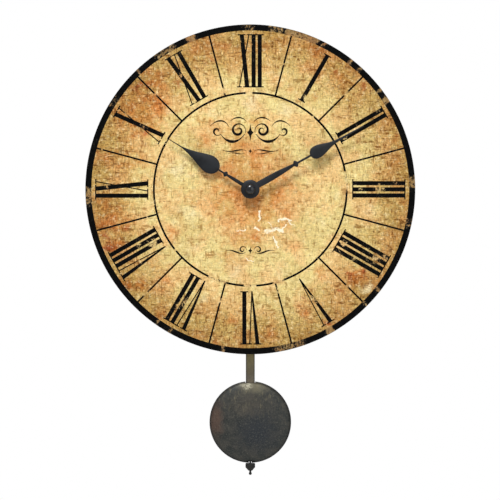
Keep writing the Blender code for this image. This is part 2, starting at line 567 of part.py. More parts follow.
def make_minute_hand():
    boss = arc(0, 0, MINUTE_BOSS_R, MINUTE_BOSS_R, -90, 78.5, 13)
    stem = bezier(boss[-1], (2.9, 18.0), (2.9, 28.0), (1.2, 42.4), 7)
    knot = arc(0, 44.9, 3.0, 1.9, -55, 55, 6)
    neck = [(0.92, 47.2), (0.92, 59.6)]
    base = arc(0, 65.3, 5.6, 5.9, -75, 0, 7)
    flank = bezier((5.6, 65.3), (5.6, 73.0), (1.6, 76.0), (1.05, 88.0), 8)
    tip = [(0.42, 112.6)]
    edge = boss + stem + knot + neck + base + flank + tip
    hand = make_hand("minute_hand", edge, MINUTE_BLADE, MINUTE_ANGLE, MINUTE_TUBE_R + 0.1)
    rim = [(MINUTE_TUBE_R + 0.1, MINUTE_BLADE[1] - 0.1), (MINUTE_BOSS_R - 0.4, MINUTE_BLADE[1] - 0.1),
           (MINUTE_BOSS_R - 0.4, MINUTE_BLADE[0]), (MINUTE_BOSS_R - 1.4, MINUTE_BOSS_FRONT),
           (MINUTE_TUBE_R + 0.1, MINUTE_BOSS_FRONT)]
    combine(hand, "UNION", turned(rim, 32))


def make_hand(name, right_side, planes, clock_angle, bore):
    left_side = [(-x, z) for x, z in reversed(right_side[1:])]
    blade = prism(right_side + left_side, planes, [circle(0, 0, bore, 28)])
    hand = body(blade)
    hand.data.transform(Matrix.Rotation(math.radians(clock_angle), 4, "Y"))
    return finish(hand, name, HAND_BLACK, 0.35, 0.6)


def make_cap_nut():
    rise = CAP_REAR - CAP_FRONT
    bore = MINUTE_TUBE_R + 0.1
    dome = [(CAP_R * math.cos(a), CAP_REAR - 0.9 - (rise - 0.9) * math.sin(a))
            for a in (math.radians(20 * i) for i in range(4))]
    profile = [(0, CAP_FRONT), *reversed(dome), (CAP_R, CAP_REAR), (bore, CAP_REAR),
               (bore, MINUTE_TUBE_FRONT - 0.4), (0, MINUTE_TUBE_FRONT - 0.4)]
    finish(body(turned(profile, 20, closed=False)), "cap_nut", HAND_BLACK, 0.25, 0.8)


# ------------------------------------------------------------------ going train

def wheel_with_pinion(name, axis, wheel, wheel_plane, pinion, pinion_plane, arbor_r, arbor_plane):
    """A moulded wheel and its pinion on one arbor, with its origin on the arbor's axis."""
    made = body(prism(gear_outline(*wheel, *axis), wheel_plane), place=(axis[0], 0, axis[1]))
    combine(made, "UNION", prism(gear_outline(*pinion, *axis), pinion_plane),
            rod(*axis, arbor_r, arbor_plane, 12))
    finish(made, name, WHITE_PLASTIC, 0.45)


def make_going_train():
    third_turn, idler_turn = math.radians(THIRD_DIRECTION), math.radians(IDLER_DIRECTION)
    third_wheel = mesh_phase(SECOND_PINION_TEETH, third_turn, THIRD_DIRECTION, THIRD_TEETH)
    third_pinion = mesh_phase(CENTRE_TEETH, third_turn, THIRD_DIRECTION, THIRD_PINION_TEETH)
    idler_pinion = mesh_phase(SECOND_TEETH, idler_turn, IDLER_DIRECTION, IDLER_PINION_TEETH)
    rotor_turn = math.radians(ROTOR_DIRECTION)
    rotor_pinion = mesh_phase(IDLER_TEETH, rotor_turn, ROTOR_DIRECTION, ROTOR_PINION_TEETH)

    centre = body(prism(gear_outline(CENTRE_TEETH, CENTRE_MODULE, third_turn), CENTRE_PLANE,
                        [circle(0, 0, 2.4, 28)]))
    hub = prism(circle(0, 0, CENTRE_HUB_R, 28), CENTRE_HUB, [circle(0, 0, MINUTE_TUBE_R + FIT, 28)])
    finish(combine(centre, "UNION", hub), "centre_wheel", WHITE_PLASTIC, 0.45)

    wheel_with_pinion("third_wheel", THIRD_AXIS, (THIRD_TEETH, THIRD_MODULE, third_wheel), THIRD_PLANE,
                      (THIRD_PINION_TEETH, CENTRE_MODULE, third_pinion), THIRD_PINION,
                      THIRD_ARBOR_R, (SOCKET_END, MIDDLE_PLATE[1] - 0.1))
    wheel_with_pinion("second_wheel", (0, 0), (SECOND_TEETH, SECOND_MODULE, idler_turn), SECOND_PLANE,
                      (SECOND_PINION_TEETH, THIRD_MODULE, third_turn), SECOND_PINION,
                      SECOND_ARBOR_R, (SECOND_ARBOR_FRONT, BRIDGE_END))
    wheel_with_pinion("idler_wheel", IDLER_AXIS, (IDLER_TEETH, IDLER_MODULE, rotor_turn), IDLER_PLANE,
                      (IDLER_PINION_TEETH, SECOND_MODULE, idler_pinion), IDLER_PINION,
                      SMALL_ARBOR_R, (MIDDLE_END, BRIDGE_END))

    rotor_place = (ROTOR_AXIS[0], 0, ROTOR_AXIS[1])
    leaves = gear_outline(ROTOR_PINION_TEETH, IDLER_MODULE, rotor_pinion, *ROTOR_AXIS)
    pinion = body(prism(leaves, ROTOR_PINION), place=rotor_place)
    combine(pinion, "UNION", rod(*ROTOR_AXIS, SMALL_ARBOR_R, (MIDDLE_END, BRIDGE_END), 12))
    finish(pinion, "rotor_pinion", STEEL, 0.35, 1.0)
    bore = circle(*ROTOR_AXIS, SMALL_ARBOR_R + FIT, 12)
    magnet = body(prism(circle(*ROTOR_AXIS, ROTOR_R, 24), ROTOR_PLANE, [bore]), place=rotor_place)
    finish(magnet, "rotor_magnet", (0.09, 0.09, 0.10), 0.5, 0.6)


# ------------------------------------------------------------------ pendulum

PENDULUM_PLACE = (0, 0, PIVOT_Z)


def make_pivot_pin():
    pin = rod(0, PIVOT_Z, PIVOT_PIN_R, (SOCKET_END, PIVOT_PIN_REAR), 16)
    finish(body(pin), "pivot_pin", STEEL, 0.3, 1.0)


def make_pendulum_leader():
    bore = circle(0, PIVOT_Z, PIVOT_PIN_R + FIT, 16)
    pocket = circle(0, MAGNET_Z, MAGNET_R + 0.1, 24)
    outline = arc(0, PIVOT_Z, LEADER_EYE_R, LEADER_EYE_R, -60, 240, 18)
    outline += [(-LEADER_HALF, PIVOT_Z - 6), (-LEADER_HALF, LEADER_BOTTOM), (LEADER_HALF, LEADER_BOTTOM),
                (LEADER_HALF, PIVOT_Z - 6)]
    leader = body(prism(outline, LEADER_PLATE), place=PENDULUM_PLACE)
    combine(leader, "UNION", rod(0, PIVOT_Z, LEADER_EYE_R - 0.6, (-13.0, -7.4), 20),
            rod(0, MAGNET_Z, MAGNET_R + 1.5, (MAGNET_PLANE[0] - 0.2, MAGNET_PLANE[1] + 0.2), 24),
            block((-HOOK_HALF, HOOK_HALF), (HOOK_LIP[0], LEADER_PLATE[0] + 0.6),
                  (LEADER_BOTTOM, HOOK_TONGUE)),
            block((-HOOK_HALF, HOOK_HALF), HOOK_LIP, (LEADER_BOTTOM, HOOK_LIP_TOP)))
    combine(leader, "DIFFERENCE", prism(bore, (-14.0, -6.0)), prism(pocket, (-14.0, -6.0)))
    finish(leader, "pendulum_leader", WHITE_PLASTIC, 0.5)


def make_leader_magnet():
    magnet = prism(circle(0, MAGNET_Z, MAGNET_R, 24), MAGNET_PLANE)
    finish(body(magnet, place=PENDULUM_PLACE), "leader_magnet", (0.10, 0.10, 0.11), 0.5, 0.6)


def make_pendulum_rod():
    holes = [circle(0, z, RIVET_R + 0.1, 12) for z in STEM_RIVETS_Z]
    holes.append(rectangle(-HOOK_HALF - 0.5, HOOK_HALF + 0.5, *ROD_WINDOW))
    strip = prism(rounded_rectangle(-ROD_HALF, ROD_HALF, ROD_BOTTOM, ROD_TOP, 1.2, 3), ROD_PLANE, holes)
    finish(body(strip, place=PENDULUM_PLACE), "pendulum_rod", (0.16, 0.15, 0.10), 0.4, 0.9)


def make_rod_stem():
    ball = [(STEM_BALL_R * math.cos(a), STEM_BALL_Z + STEM_BALL_R * math.sin(a))
            for a in (math.radians(-60 + 25 * i) for i in range(5))]
    profile = [(0, STEM_BALL_Z - STEM_BALL_R), *ball, (STEM_R, STEM_BALL_Z + 1.0), (STEM_R, STEM_TOP),
               (0, STEM_TOP)]
    turned_stem = turned(profile, 12, axis="Z", closed=False)
    bmesh.ops.translate(turned_stem, verts=turned_stem.verts[:], vec=(0, ROD_Y, 0))
    stem = body(turned_stem, place=PENDULUM_PLACE)
    holes = [circle(0, z, RIVET_R + 0.1, 12) for z in STEM_RIVETS_Z]
    combine(stem, "UNION", prism(rounded_rectangle(-3.0, 3.0, *STEM_TAB_Z, 1.2, 3), STEM_TAB, holes))
    finish(stem, "rod_stem", (0.20, 0.19, 0.15), 0.35, 1.0)


def rivet(z, front, rear):
    """A rivet along Y whose heads bear on two faces."""
    profile = [(0, front - RIVET_HEAD), (RIVET_HEAD_R - 0.3, front - RIVET_HEAD),
               (RIVET_HEAD_R, front - 0.25), (RIVET_HEAD_R, front), (RIVET_R, front), (RIVET_R, rear),
               (RIVET_HEAD_R, rear), (RIVET_HEAD_R, rear + 0.25), (RIVET_HEAD_R - 0.3, rear + RIVET_HEAD),
               (0, rear + RIVET_HEAD)]
    made = turned(profile, 10, closed=False)
    bmesh.ops.translate(made, verts=made.verts[:], vec=(0, 0, z))
    return made


def make_stem_rivets():
    for name, z in zip(("stem_rivet_upper", "stem_rivet_lower"), STEM_RIVETS_Z):
        made = body(rivet(z, STEM_TAB[0] - 0.1, ROD_PLANE[1] + 0.1), place=PENDULUM_PLACE)
        finish(made, name, STEEL, 0.35, 1.0)


# ------------------------------------------------------------------ bob

BOB_PLACE = (0, ROD_Y, BOB_Z)


def dome_profile(inset):
    """Half section of the bob from its centre to its rear edge, moved inwards by inset."""
    peak, edge = BOB_PEAK + inset, BOB_EDGE
    radius = BOB_R - inset
    foot = edge - CROWN_STEP
    crown = [(radius * math.sin(a) * CROWN_REACH, foot + (peak - foot) * math.cos(a))
             for a in (math.radians(15 * i) for i in range(7))]
    return crown + [(radius, edge), (radius, BOB_REAR)]


def make_bob_shell():
    outer = dome_profile(0.0)
    inner = dome_profile(BOB_SHEET)
    shell = turned(outer + inner[::-1], 48, closed=False)
    bmesh.ops.translate(shell, verts=shell.verts[:], vec=(0, 0, BOB_Z))
    made = body(shell, place=BOB_PLACE)
    slot = (BOB_SLOT_FRONT, BOB_REAR + 1)
    top = block((-ROD_SLOT_HALF, ROD_SLOT_HALF), slot, (BOB_Z + 20, BOB_Z + 40))
    bottom = block((-STEM_SLOT_HALF, STEM_SLOT_HALF), slot, (BOB_Z - 40, BOB_Z - 20))
    combine(made, "DIFFERENCE", top, bottom)
    finish(made, "bob_shell", AGED_METAL, 0.45, 0.85)


def make_bob_back_plate():
    plate = prism(circle(0, BOB_Z, BOB_PLATE_R, 48), BOB_PLATE, [circle(0, CLIP_RIVET_Z, RIVET_R + 0.1, 12)])
    finish(body(plate, place=BOB_PLACE), "bob_back_plate", (0.20, 0.19, 0.17), 0.4, 0.9)


def make_bob_spring_clip():
    """A leaf riveted to the back plate that bows forward against the rod."""
    front = BOB_PLATE[0] - 0.1
    bow = ROD_PLANE[1] + 0.2
    path = [(front, -176.0), (front, -182.0), (bow + CLIP_SHEET, -186.5), (bow + CLIP_SHEET, -189.0),
            (front - 0.6, -194.0)]
    outline = path + [(y - CLIP_SHEET, z) for y, z in reversed(path)]
    bm = prism(outline, (-CLIP_HALF, CLIP_HALF))
    # the outline was drawn as (y, z) along X, so exchange the two horizontal axes
    bmesh.ops.rotate(bm, matrix=Matrix.Rotation(math.radians(90), 3, "Z"), verts=bm.verts[:])
    clip = body(bm, place=BOB_PLACE)
    combine(clip, "DIFFERENCE", rod(0, CLIP_RIVET_Z, RIVET_R + 0.1, (-12.0, -7.0), 12))
    finish(clip, "bob_spring_clip", STEEL, 0.35, 1.0)


def make_clip_rivet():
    made = body(rivet(CLIP_RIVET_Z, BOB_PLATE[0] - CLIP_SHEET - 0.2, BOB_PLATE[1] + 0.1), place=BOB_PLACE)
    finish(made, "clip_rivet", STEEL, 0.35, 1.0)


def make_rating_nut():
    profile = [(STEM_R + 0.05, NUT_TOP), (RATING_NUT_R - 0.4, NUT_TOP), (RATING_NUT_R, NUT_TOP - 0.4),
               (RATING_NUT_R, NUT_SHOULDER), (2.0, NUT_TIP), (STEM_R + 0.05, NUT_TIP)]
    made = turned([(r, z - NUT_TOP) for r, z in profile], 24, axis="Z")
    nut = body(made)
    nut.location = Vector((0, ROD_Y, NUT_TOP)) * MM
    finish(nut, "rating_nut", (0.22, 0.20, 0.15), 0.35, 0.95)


def main():
    for old in list(bpy.data.objects):
        bpy.data.objects.remove(old)
    for make in (make_dial_board, make_dial_print, make_rubber_washer, make_brass_washer, make_hex_nut,
                 make_movement_case, make_centre_bush, make_back_cover, make_middle_plate, make_train_bridge,
                 make_circuit_board, make_control_chip, make_quartz_crystal, make_stepper_stator,
                 make_stepper_bobbin, make_stepper_winding, make_drive_bobbin, make_drive_winding,
                 make_battery, make_battery_contacts, make_hour_wheel, make_minute_tube, make_motion_wheel,
                 make_setting_knob,
                 make_hour_hand, make_minute_hand, make_cap_nut, make_going_train, make_pivot_pin,
                 make_pendulum_leader, make_leader_magnet, make_pendulum_rod, make_rod_stem, make_stem_rivets,
                 make_bob_shell, make_bob_back_plate, make_bob_spring_clip, make_clip_rivet, make_rating_nut):
        make()


main()
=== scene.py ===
"""Looks for the pendulum wall clock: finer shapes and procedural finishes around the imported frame.

Lengths are in millimetres until a mesh is finished, and angles on the dial are clock angles: degrees
clockwise from twelve, seen from the front. The front of the clock faces -Y and the wall is at y = 0.
"""

import json
import math

import bmesh
import bpy
from mathutils import Matrix, Vector, geometry


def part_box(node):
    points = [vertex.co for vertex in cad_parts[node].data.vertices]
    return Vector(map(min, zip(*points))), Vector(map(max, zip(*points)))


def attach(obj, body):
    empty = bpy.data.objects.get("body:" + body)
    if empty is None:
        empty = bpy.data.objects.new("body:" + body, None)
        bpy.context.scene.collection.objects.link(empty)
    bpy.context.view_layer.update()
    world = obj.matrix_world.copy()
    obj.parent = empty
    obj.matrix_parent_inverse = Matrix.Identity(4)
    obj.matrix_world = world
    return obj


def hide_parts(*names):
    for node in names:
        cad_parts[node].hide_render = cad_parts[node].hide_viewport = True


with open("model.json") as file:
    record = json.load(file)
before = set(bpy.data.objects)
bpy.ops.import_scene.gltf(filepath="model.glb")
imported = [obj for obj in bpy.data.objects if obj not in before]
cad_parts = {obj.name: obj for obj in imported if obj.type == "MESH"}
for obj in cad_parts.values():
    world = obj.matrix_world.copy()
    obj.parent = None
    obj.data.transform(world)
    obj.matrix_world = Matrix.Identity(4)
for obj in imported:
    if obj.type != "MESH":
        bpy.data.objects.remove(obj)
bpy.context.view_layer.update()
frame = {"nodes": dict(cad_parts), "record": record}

MM = 0.001
DIAL_RADIUS, PAPER_RADIUS, CENTRE_HOLE = 142.5, 142.3, 4.4
PAPER_FRONT, PAPER_BACK = -31.6, -31.4
BOARD_FRONT, BOARD_BACK = -31.3, -25.3
INK_FRONT, INK_BACK = PAPER_FRONT - 0.05, PAPER_FRONT + 0.02
RIM_INNER = 137.2
RING_RADIUS, RING_WIDTH, LINE_WIDTH = 83.3, 1.7, 1.5
NUMERAL_FOOT, NUMERAL_TOP = 88, 134
BAR_WIDTH, BAR_PITCH = 3.6, 5.3
THICK_STROKE, THIN_STROKE = 3.7, 0.95
SERIF, SERIF_REACH = 1, 1.6
HOUR_ANGLE, MINUTE_ANGLE = 301.6, 60.8
HOUR_BACK, HOUR_FRONT = -37.2, -37.9
MINUTE_BACK, MINUTE_FRONT = -40.3, -41
BOB_Z, BOB_RADIUS = -201.5, 35.35
STEM_Y, STEM_RADIUS = -12, 0.95
CRACK_WIDTH = 0.024
CAMERA_DISTANCE = 5
FRAME_WIDTH = 0.4318
VIEW_CENTRE = (-0.00026, -0.0524)


# ---- geometry helpers ----

def clock_point(angle, radius):
    """The (x, z) point at a clock angle and a distance from the dial's centre."""
    turn = math.radians(angle)
    return radius * math.sin(turn), radius * math.cos(turn)


def turned(points, angle):
    """(across, outward) points drawn at twelve, turned to a clock angle as (x, z)."""
    cos, sin = math.cos(math.radians(angle)), math.sin(math.radians(angle))
    return [(u * cos + v * sin, v * cos - u * sin) for u, v in points]


def arc(centre, radii, start, end, count):
    """Points on an ellipse about centre from angle start to end, in degrees from +X towards +Z."""
    steps = [math.radians(start + (end - start) * i / count) for i in range(count + 1)]
    return [(centre[0] + radii[0] * math.cos(a), centre[1] + radii[1] * math.sin(a)) for a in steps]


def bezier(a, b, c, d, count):
    """Points on a cubic curve from a to d, with handles b and c."""
    corners = [Vector((*p, 0)) for p in (a, b, c, d)]
    return [(p.x, p.y) for p in geometry.interpolate_bezier(*corners, count + 1)]


def box_of(node):
    """A CAD node's lowest and highest corners at rest, in millimetres."""
    return [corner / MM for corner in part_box(node)]


def link(name, mesh):
    """A new object of that mesh, lamp or camera in the scene."""
    made = bpy.data.objects.new(name, mesh)
    bpy.context.scene.collection.objects.link(made)
    return made


def mesh_of(name, bm, sharp=32):
    """The object made from a mesh in millimetres: scaled to metres, faces out, smooth up to an angle."""
    bmesh.ops.recalc_face_normals(bm, faces=bm.faces)
    mesh = bpy.data.meshes.new(name)
    bm.to_mesh(mesh)
    bm.free()
    mesh.transform(Matrix.Scale(MM, 4))
    mesh.shade_smooth()
    mesh.set_sharp_from_angle(angle=math.radians(sharp))
    return link(name, mesh)


def lathe(profile, count=96, axis="Y", place=(0, 0), grip=(math.inf, 0, 1)):
    """A body of revolution from a closed profile of (radius, height), about Y or Z through a place.

    The grip cuts grooves beyond a radius: that radius, their depth, and the points from one to the next.
    """
    bm = bmesh.new()
    grip_from, grip_depth, every = grip
    rings = []
    for radius, height in profile:
        depth = grip_depth if radius > grip_from else 0
        ring = []
        for i in range(count if radius > 0 else 1):
            turn, reach = 2 * math.pi * i / count, radius - depth * (i % every == 0)
            u, v = reach * math.cos(turn) + place[0], reach * math.sin(turn) + place[1]
            ring.append(bm.verts.new((u, height, v) if axis == "Y" else (u, v, height)))
        rings.append(ring)
    for a, b in zip(rings, rings[1:] + rings[:1]):
        for i in range(count):
            corners = [a[i % len(a)], a[(i + 1) % len(a)], b[(i + 1) % len(b)], b[i % len(b)]]
            corners = list(dict.fromkeys(corners))
            if len(corners) > 2:
                bm.faces.new(corners)
    return bm


def slab(outline, back, front, bm=None):
    """A flat plate on the dial's plane from an (x, z) outline without holes."""
    bm = bm or bmesh.new()
    sides = [[bm.verts.new((x, y, z)) for x, z in outline] for y in (back, front)]
    bm.faces.new(sides[0])
    bm.faces.new(list(reversed(sides[1])))
    for i in range(len(outline)):
        j = (i + 1) % len(outline)
        bm.faces.new((sides[0][j], sides[0][i], sides[1][i], sides[1][j]))
    return bm


def block(low, high):
    """A block between two corners."""
    bm = bmesh.new()
    middle = [(a + b) / 2 for a, b in zip(low, high)]
    size = [b - a for a, b in zip(low, high)]
    bmesh.ops.create_cube(bm, size=1, matrix=Matrix.Translation(middle) @ Matrix.Diagonal((*size, 1)))
    return bm


def apply_modifiers(target):
    """Replaces the object's mesh with its evaluated one."""
    graph = bpy.context.evaluated_depsgraph_get()
    mesh = bpy.data.meshes.new_from_object(target.evaluated_get(graph))
    target.modifiers.clear()
    target.data = mesh


def boolean(target, operation, others):
    """Applies a Boolean with each other object in turn to the target object, and removes the others."""
    for other in others:
        change = target.modifiers.new("combine", "BOOLEAN")
        change.operation = operation
        change.object = other
        apply_modifiers(target)
        bpy.data.objects.remove(other)


def level_normals(target, sharp):
    """Shades the object smooth while its flat faces stay flat up to their rounded edges."""
    target.data.shade_smooth()
    target.data.set_sharp_from_angle(angle=math.radians(sharp))
    weighted = target.modifiers.new("weights", "WEIGHTED_NORMAL")
    weighted.mode = "FACE_AREA"
    weighted.weight = 100
    weighted.keep_sharp = True
    apply_modifiers(target)


def refined(node, name, width, segments=2):
    """A copy of a CAD node's mesh, its coplanar faces merged and its edges rounded by a width."""
    mesh = frame["nodes"][node].data.copy()
    bm = bmesh.new()
    bm.from_mesh(mesh)
    bmesh.ops.remove_doubles(bm, verts=bm.verts, dist=2e-6)
    bmesh.ops.dissolve_limit(bm, angle_limit=math.radians(0.5), verts=bm.verts, edges=bm.edges)
    bm.to_mesh(mesh)
    bm.free()
    mesh.materials.clear()
    made = link(name, mesh)
    bevel = made.modifiers.new("edges", "BEVEL")
    bevel.width = width * MM
    bevel.segments = segments
    bevel.limit_method = "ANGLE"
    bevel.angle_limit = math.radians(35)
    bevel.miter_outer = "MITER_ARC"
    apply_modifiers(made)
    level_normals(made, 38)
    return made


# ---- node helpers ----

def srgb(red, green, blue):
    """A display colour from 0 to 255 as linear light with full alpha."""
    levels = [v / 255 for v in (red, green, blue)]
    return (*(v / 12.92 if v <= 0.04045 else ((v + 0.055) / 1.055) ** 2.4 for v in levels), 1.0)


def paler(colour, rise):
    """A display colour raised by the same amount in each channel."""
    return [min(255, v + rise) for v in colour]


class Graph:
    """A node tree being built: each method adds nodes and gives back an output socket."""

    def __init__(self, tree):
        self.tree = tree

    def feed(self, socket, value):
        if isinstance(value, bpy.types.NodeSocket):
            self.tree.links.new(value, socket)
        else:
            socket.default_value = value

    def node(self, kind, inputs=None, **settings):
        """A new node itself, with its settings and its inputs linked or set."""
        made = self.tree.nodes.new(kind)
        for name, value in settings.items():
            setattr(made, name, value)
        for key, value in (inputs or {}).items():
            self.feed(made.inputs[key], value)
        return made

    def math(self, operation, a, b=0, clamp=False):
        return self.node("ShaderNodeMath", {0: a, 1: b}, operation=operation, use_clamp=clamp).outputs[0]

    def times(self, a, b):
        return self.math("MULTIPLY", a, b)

    def plus(self, a, b):
        return self.math("ADD", a, b)

    def total(self, values, operation="MAXIMUM"):
        """The values joined two by two with one operation."""
        result = values[0]
        for value in values[1:]:
            result = self.math(operation, result, value)
        return result

    def vector(self, operation, a, b=(0, 0, 0)):
        made = self.node("ShaderNodeVectorMath", {0: a, 1: b}, operation=operation)
        scalar = operation in ("LENGTH", "DISTANCE", "DOT_PRODUCT")
        return made.outputs["Value" if scalar else "Vector"]

    def scaled(self, vector, factors, shift):
        """A vector times factors, plus a shift."""
        return self.node("ShaderNodeVectorMath", {0: vector, 1: factors, 2: shift},
                         operation="MULTIPLY_ADD").outputs["Vector"]

    def axes(self, place):
        """The sockets X, Y and Z of a vector."""
        return self.node("ShaderNodeSeparateXYZ", {0: place}).outputs

    def millimetres(self):
        """The surface point in millimetres, in the row frame."""
        place = self.node("ShaderNodeTexCoord").outputs["Object"]
        return self.vector("MULTIPLY", place, (1000, 1000, 1000))

    def flat(self):
        """The surface point on the dial's plane as (x, z, 0), in millimetres."""
        axes = self.axes(self.millimetres())
        return self.node("ShaderNodeCombineXYZ", {"X": axes["X"], "Y": axes["Z"]}).outputs[0]

    def bent(self, flat, scale, detail, reach):
        """A flat place moved up to about reach either way by noise, so that outlines on it are ragged."""
        inputs = {"Vector": flat, "Scale": scale, "Detail": detail}
        warp = self.node("ShaderNodeTexNoise", inputs).outputs["Color"]
        return self.vector("ADD", flat, self.scaled(warp, (2 * reach, 2 * reach, 0), (-reach, -reach, 0)))

    def noise(self, place, size, detail=3, roughness=0.55, stretch=(1, 1, 1), shift=0):
        """Noise whose features are about size across, in the units of place."""
        moved = self.scaled(place, [s / size for s in stretch], (shift, shift, shift))
        inputs = {"Vector": moved, "Scale": 1, "Detail": detail, "Roughness": roughness}
        return self.node("ShaderNodeTexNoise", inputs).outputs["Fac"]

    def steps(self, value, low, high, to_low=0, to_high=1):
        """A smooth step of value from low to high."""
        inputs = {"Value": value, "From Min": low, "From Max": high, "To Min": to_low, "To Max": to_high}
        return self.node("ShaderNodeMapRange", inputs, interpolation_type="SMOOTHSTEP").outputs["Result"]

    def edges(self, radius):
        """1 along rounded or sharp edges, from how far the bevelled normal turns over a radius in mm."""
        round_normal = self.node("ShaderNodeBevel", {"Radius": radius * MM}, samples=4).outputs["Normal"]
        normal = self.node("ShaderNodeNewGeometry").outputs["Normal"]
        return self.steps(self.vector("DOT_PRODUCT", round_normal, normal), 0.995, 0.9)

    def mix(self, factor, a, b, blend="MIX"):
        made = self.node("ShaderNodeMix", {0: factor, 6: a, 7: b}, data_type="RGBA", blend_type=blend)
        return made.outputs[2]

    def tones(self, value, low, high, dark, light):
        """A colour that goes from dark to light while value goes from low to high."""
        return self.mix(self.steps(value, low, high), srgb(*dark), srgb(*light))

    def layers(self, colour, *rows):
        """The colour under layers, each a factor, a display colour and perhaps a blend."""
        for factor, layer, *blend in rows:
            colour = self.mix(factor, colour, srgb(*layer), *blend)
        return colour


def material(name, build, metal=0, specular=0.5):
    """A material whose build(graph) gives colour, roughness, height and the height's depth in mm."""
    made = bpy.data.materials.new(name)
    made.use_nodes = True
    graph = Graph(made.node_tree)
    shader = next(n for n in made.node_tree.nodes if n.type == "BSDF_PRINCIPLED")
    colour, rough, height, depth = build(graph)
    feeds = {"Metallic": metal, "Specular IOR Level": specular, "Base Color": colour, "Roughness": rough}
    if height is not None:
        bump = graph.node("ShaderNodeBump", {"Height": height, "Strength": 1, "Distance": depth * MM})
        feeds["Normal"] = bump.outputs["Normal"]
    for key, value in feeds.items():
        graph.feed(shader.inputs[key], value)
    return made


# ---- the printed paper ----

# Each patch on the paper: clock angle, distance from the centre, size, strength.
RED_STAINS = [
    (313, 133, 8, 0.9), (316, 125, 6, 0.7), (343, 116, 5, 0.8), (325, 110, 7, 0.8), (283, 135, 6, 0.8),
    (289, 121, 6, 0.7), (253, 113, 5, 0.7), (252, 131, 7, 0.9), (247, 133, 8, 1), (262, 117, 5, 0.7),
    (131, 112, 6, 0.9), (126, 122, 5, 0.9), (138, 116, 4, 0.8), (154, 105, 4, 0.7), (150, 135, 5, 0.8),
    (47, 133, 6, 0.8), (36, 126, 6, 0.9), (96, 123, 5, 0.7), (352, 125, 5, 0.8), (299, 104, 5, 0.7),
]
ORANGE_STAINS = [
    (312, 108, 17, 1), (304, 96, 12, 0.8), (318, 124, 15, 0.9), (299, 127, 11, 0.8), (349, 124, 9, 0.7),
    (229, 127, 10, 0.8), (233, 134, 8, 0.8), (223, 109, 8, 0.8), (216, 134, 8, 0.8), (192, 135, 7, 0.7),
    (188, 115, 8, 0.7), (157, 115, 8, 0.7), (172, 124, 8, 0.7), (139, 93, 9, 0.7), (34, 98, 8, 0.5),
    (71, 133, 8, 0.7), (38, 124, 12, 0.7), (129, 118, 13, 0.8), (247, 126, 13, 0.8), (283, 127, 10, 0.7),
    (85, 27, 19, 0.8), (174, 42, 11, 0.9), (190, 44, 9, 0.7), (330, 30, 16, 0.9), (20, 34, 15, 0.8),
    (300, 40, 14, 0.8), (5, 56, 13, 0.6), (270, 22, 14, 0.8), (65, 68, 8, 0.5), (210, 64, 8, 0.5),
    (142, 62, 9, 0.5), (325, 72, 9, 0.6), (352, 20, 12, 0.8), (120, 34, 12, 0.7), (215, 30, 12, 0.7),
    (310, 58, 9, 0.5), (272, 74, 7, 0.5), (304, 114, 34, 0.85), (258, 122, 30, 0.75), (283, 108, 28, 0.6),
    (350, 38, 26, 0.75), (190, 42, 24, 0.65), (28, 130, 26, 0.5), (240, 76, 16, 0.5), (60, 66, 14, 0.4),
    (98, 132, 18, 0.4), (340, 132, 20, 0.5), (320, 60, 22, 0.5),
]
PALE_PATCHES = [
    (313, 97, 6, 0.6), (131, 132, 8, 0.9), (285, 66, 17, 0.7), (250, 60, 16, 0.7), (225, 72, 12, 0.6),
    (0, 76, 14, 0.8), (335, 74, 10, 0.7), (25, 76, 12, 0.7), (190, 74, 14, 0.6), (160, 72, 12, 0.6),
    (115, 66, 12, 0.5), (95, 76, 8, 0.6), (150, 94, 7, 0.5), (76, 98, 8, 0.5), (100, 105, 9, 0.5),
    (203, 105, 7, 0.6), (246, 96, 8, 0.6), (60, 104, 8, 0.5), (14, 100, 9, 0.6), (345, 95, 7, 0.6),
]
# Each whitish scratch: two ends (x, z), width.
SCRATCHES = [
    ((8, -19), (7.6, -27), 1.2), ((13, -36.6), (22, -34), 1.9), ((22, -34), (28, -36), 1.6),
    ((29, -25), (35, -27), 1.2), ((4, -33.5), (8.2, -35), 1.5), ((20, -41), (24, -50), 1),
    ((-12, -36), (-4, -35), 0.7), ((-4, -60), (3, -62), 0.5), ((24, -27.5), (30, -24.5), 0.8),
    ((26, -36.5), (31, -30), 0.8), ((16, -28), (19, -33), 0.6), ((33, -27), (38, -32), 0.6),
]


def spots(graph, place, rows):
    """The strongest of many soft round patches at a point: strength at the centre, 0 at the edge."""
    values = []
    for angle, radius, size, strength in rows:
        gap = graph.vector("DISTANCE", place, (*clock_point(angle, radius), 0))
        inputs = {"Value": gap, "From Min": size * 1.15, "From Max": 0, "To Min": 0, "To Max": strength}
        values.append(graph.node("ShaderNodeMapRange", inputs).outputs["Result"])
    return graph.total(values)


def segments(graph, place, rows):
    """1 on any of the thin strokes between two points, soft at the sides."""
    values = []
    for start, end, width in rows:
        along = Vector((end[0] - start[0], end[1] - start[1], 0))
        away = graph.vector("SUBTRACT", place, (*start, 0))
        reach = graph.vector("DOT_PRODUCT", away, along)
        share = graph.math("MULTIPLY", reach, 1 / along.length_squared, True)
        nearest = graph.node("ShaderNodeVectorMath", {0: along, "Scale": share}, operation="SCALE").outputs[0]
        values.append(graph.steps(graph.vector("DISTANCE", away, nearest), width, width * 0.3))
    return graph.total(values)


def cracks(graph, flat, pitch, shift):
    """Thin broken lines both ways across the paper: where long stretched noise crosses even levels."""
    values = []
    for stretch, seed in (((0.11, 1, 1), shift), ((1, 0.11, 1), shift + 6)):
        wave = graph.noise(flat, pitch, 2, 0.5, stretch, seed)
        line = graph.steps(graph.math("PINGPONG", wave, 0.075), CRACK_WIDTH, CRACK_WIDTH * 0.3)
        broken = graph.steps(graph.noise(flat, 6, 3, 0.6, shift=seed + 9), 0.48, 0.6)
        values.append(graph.times(line, broken))
    return graph.total(values)


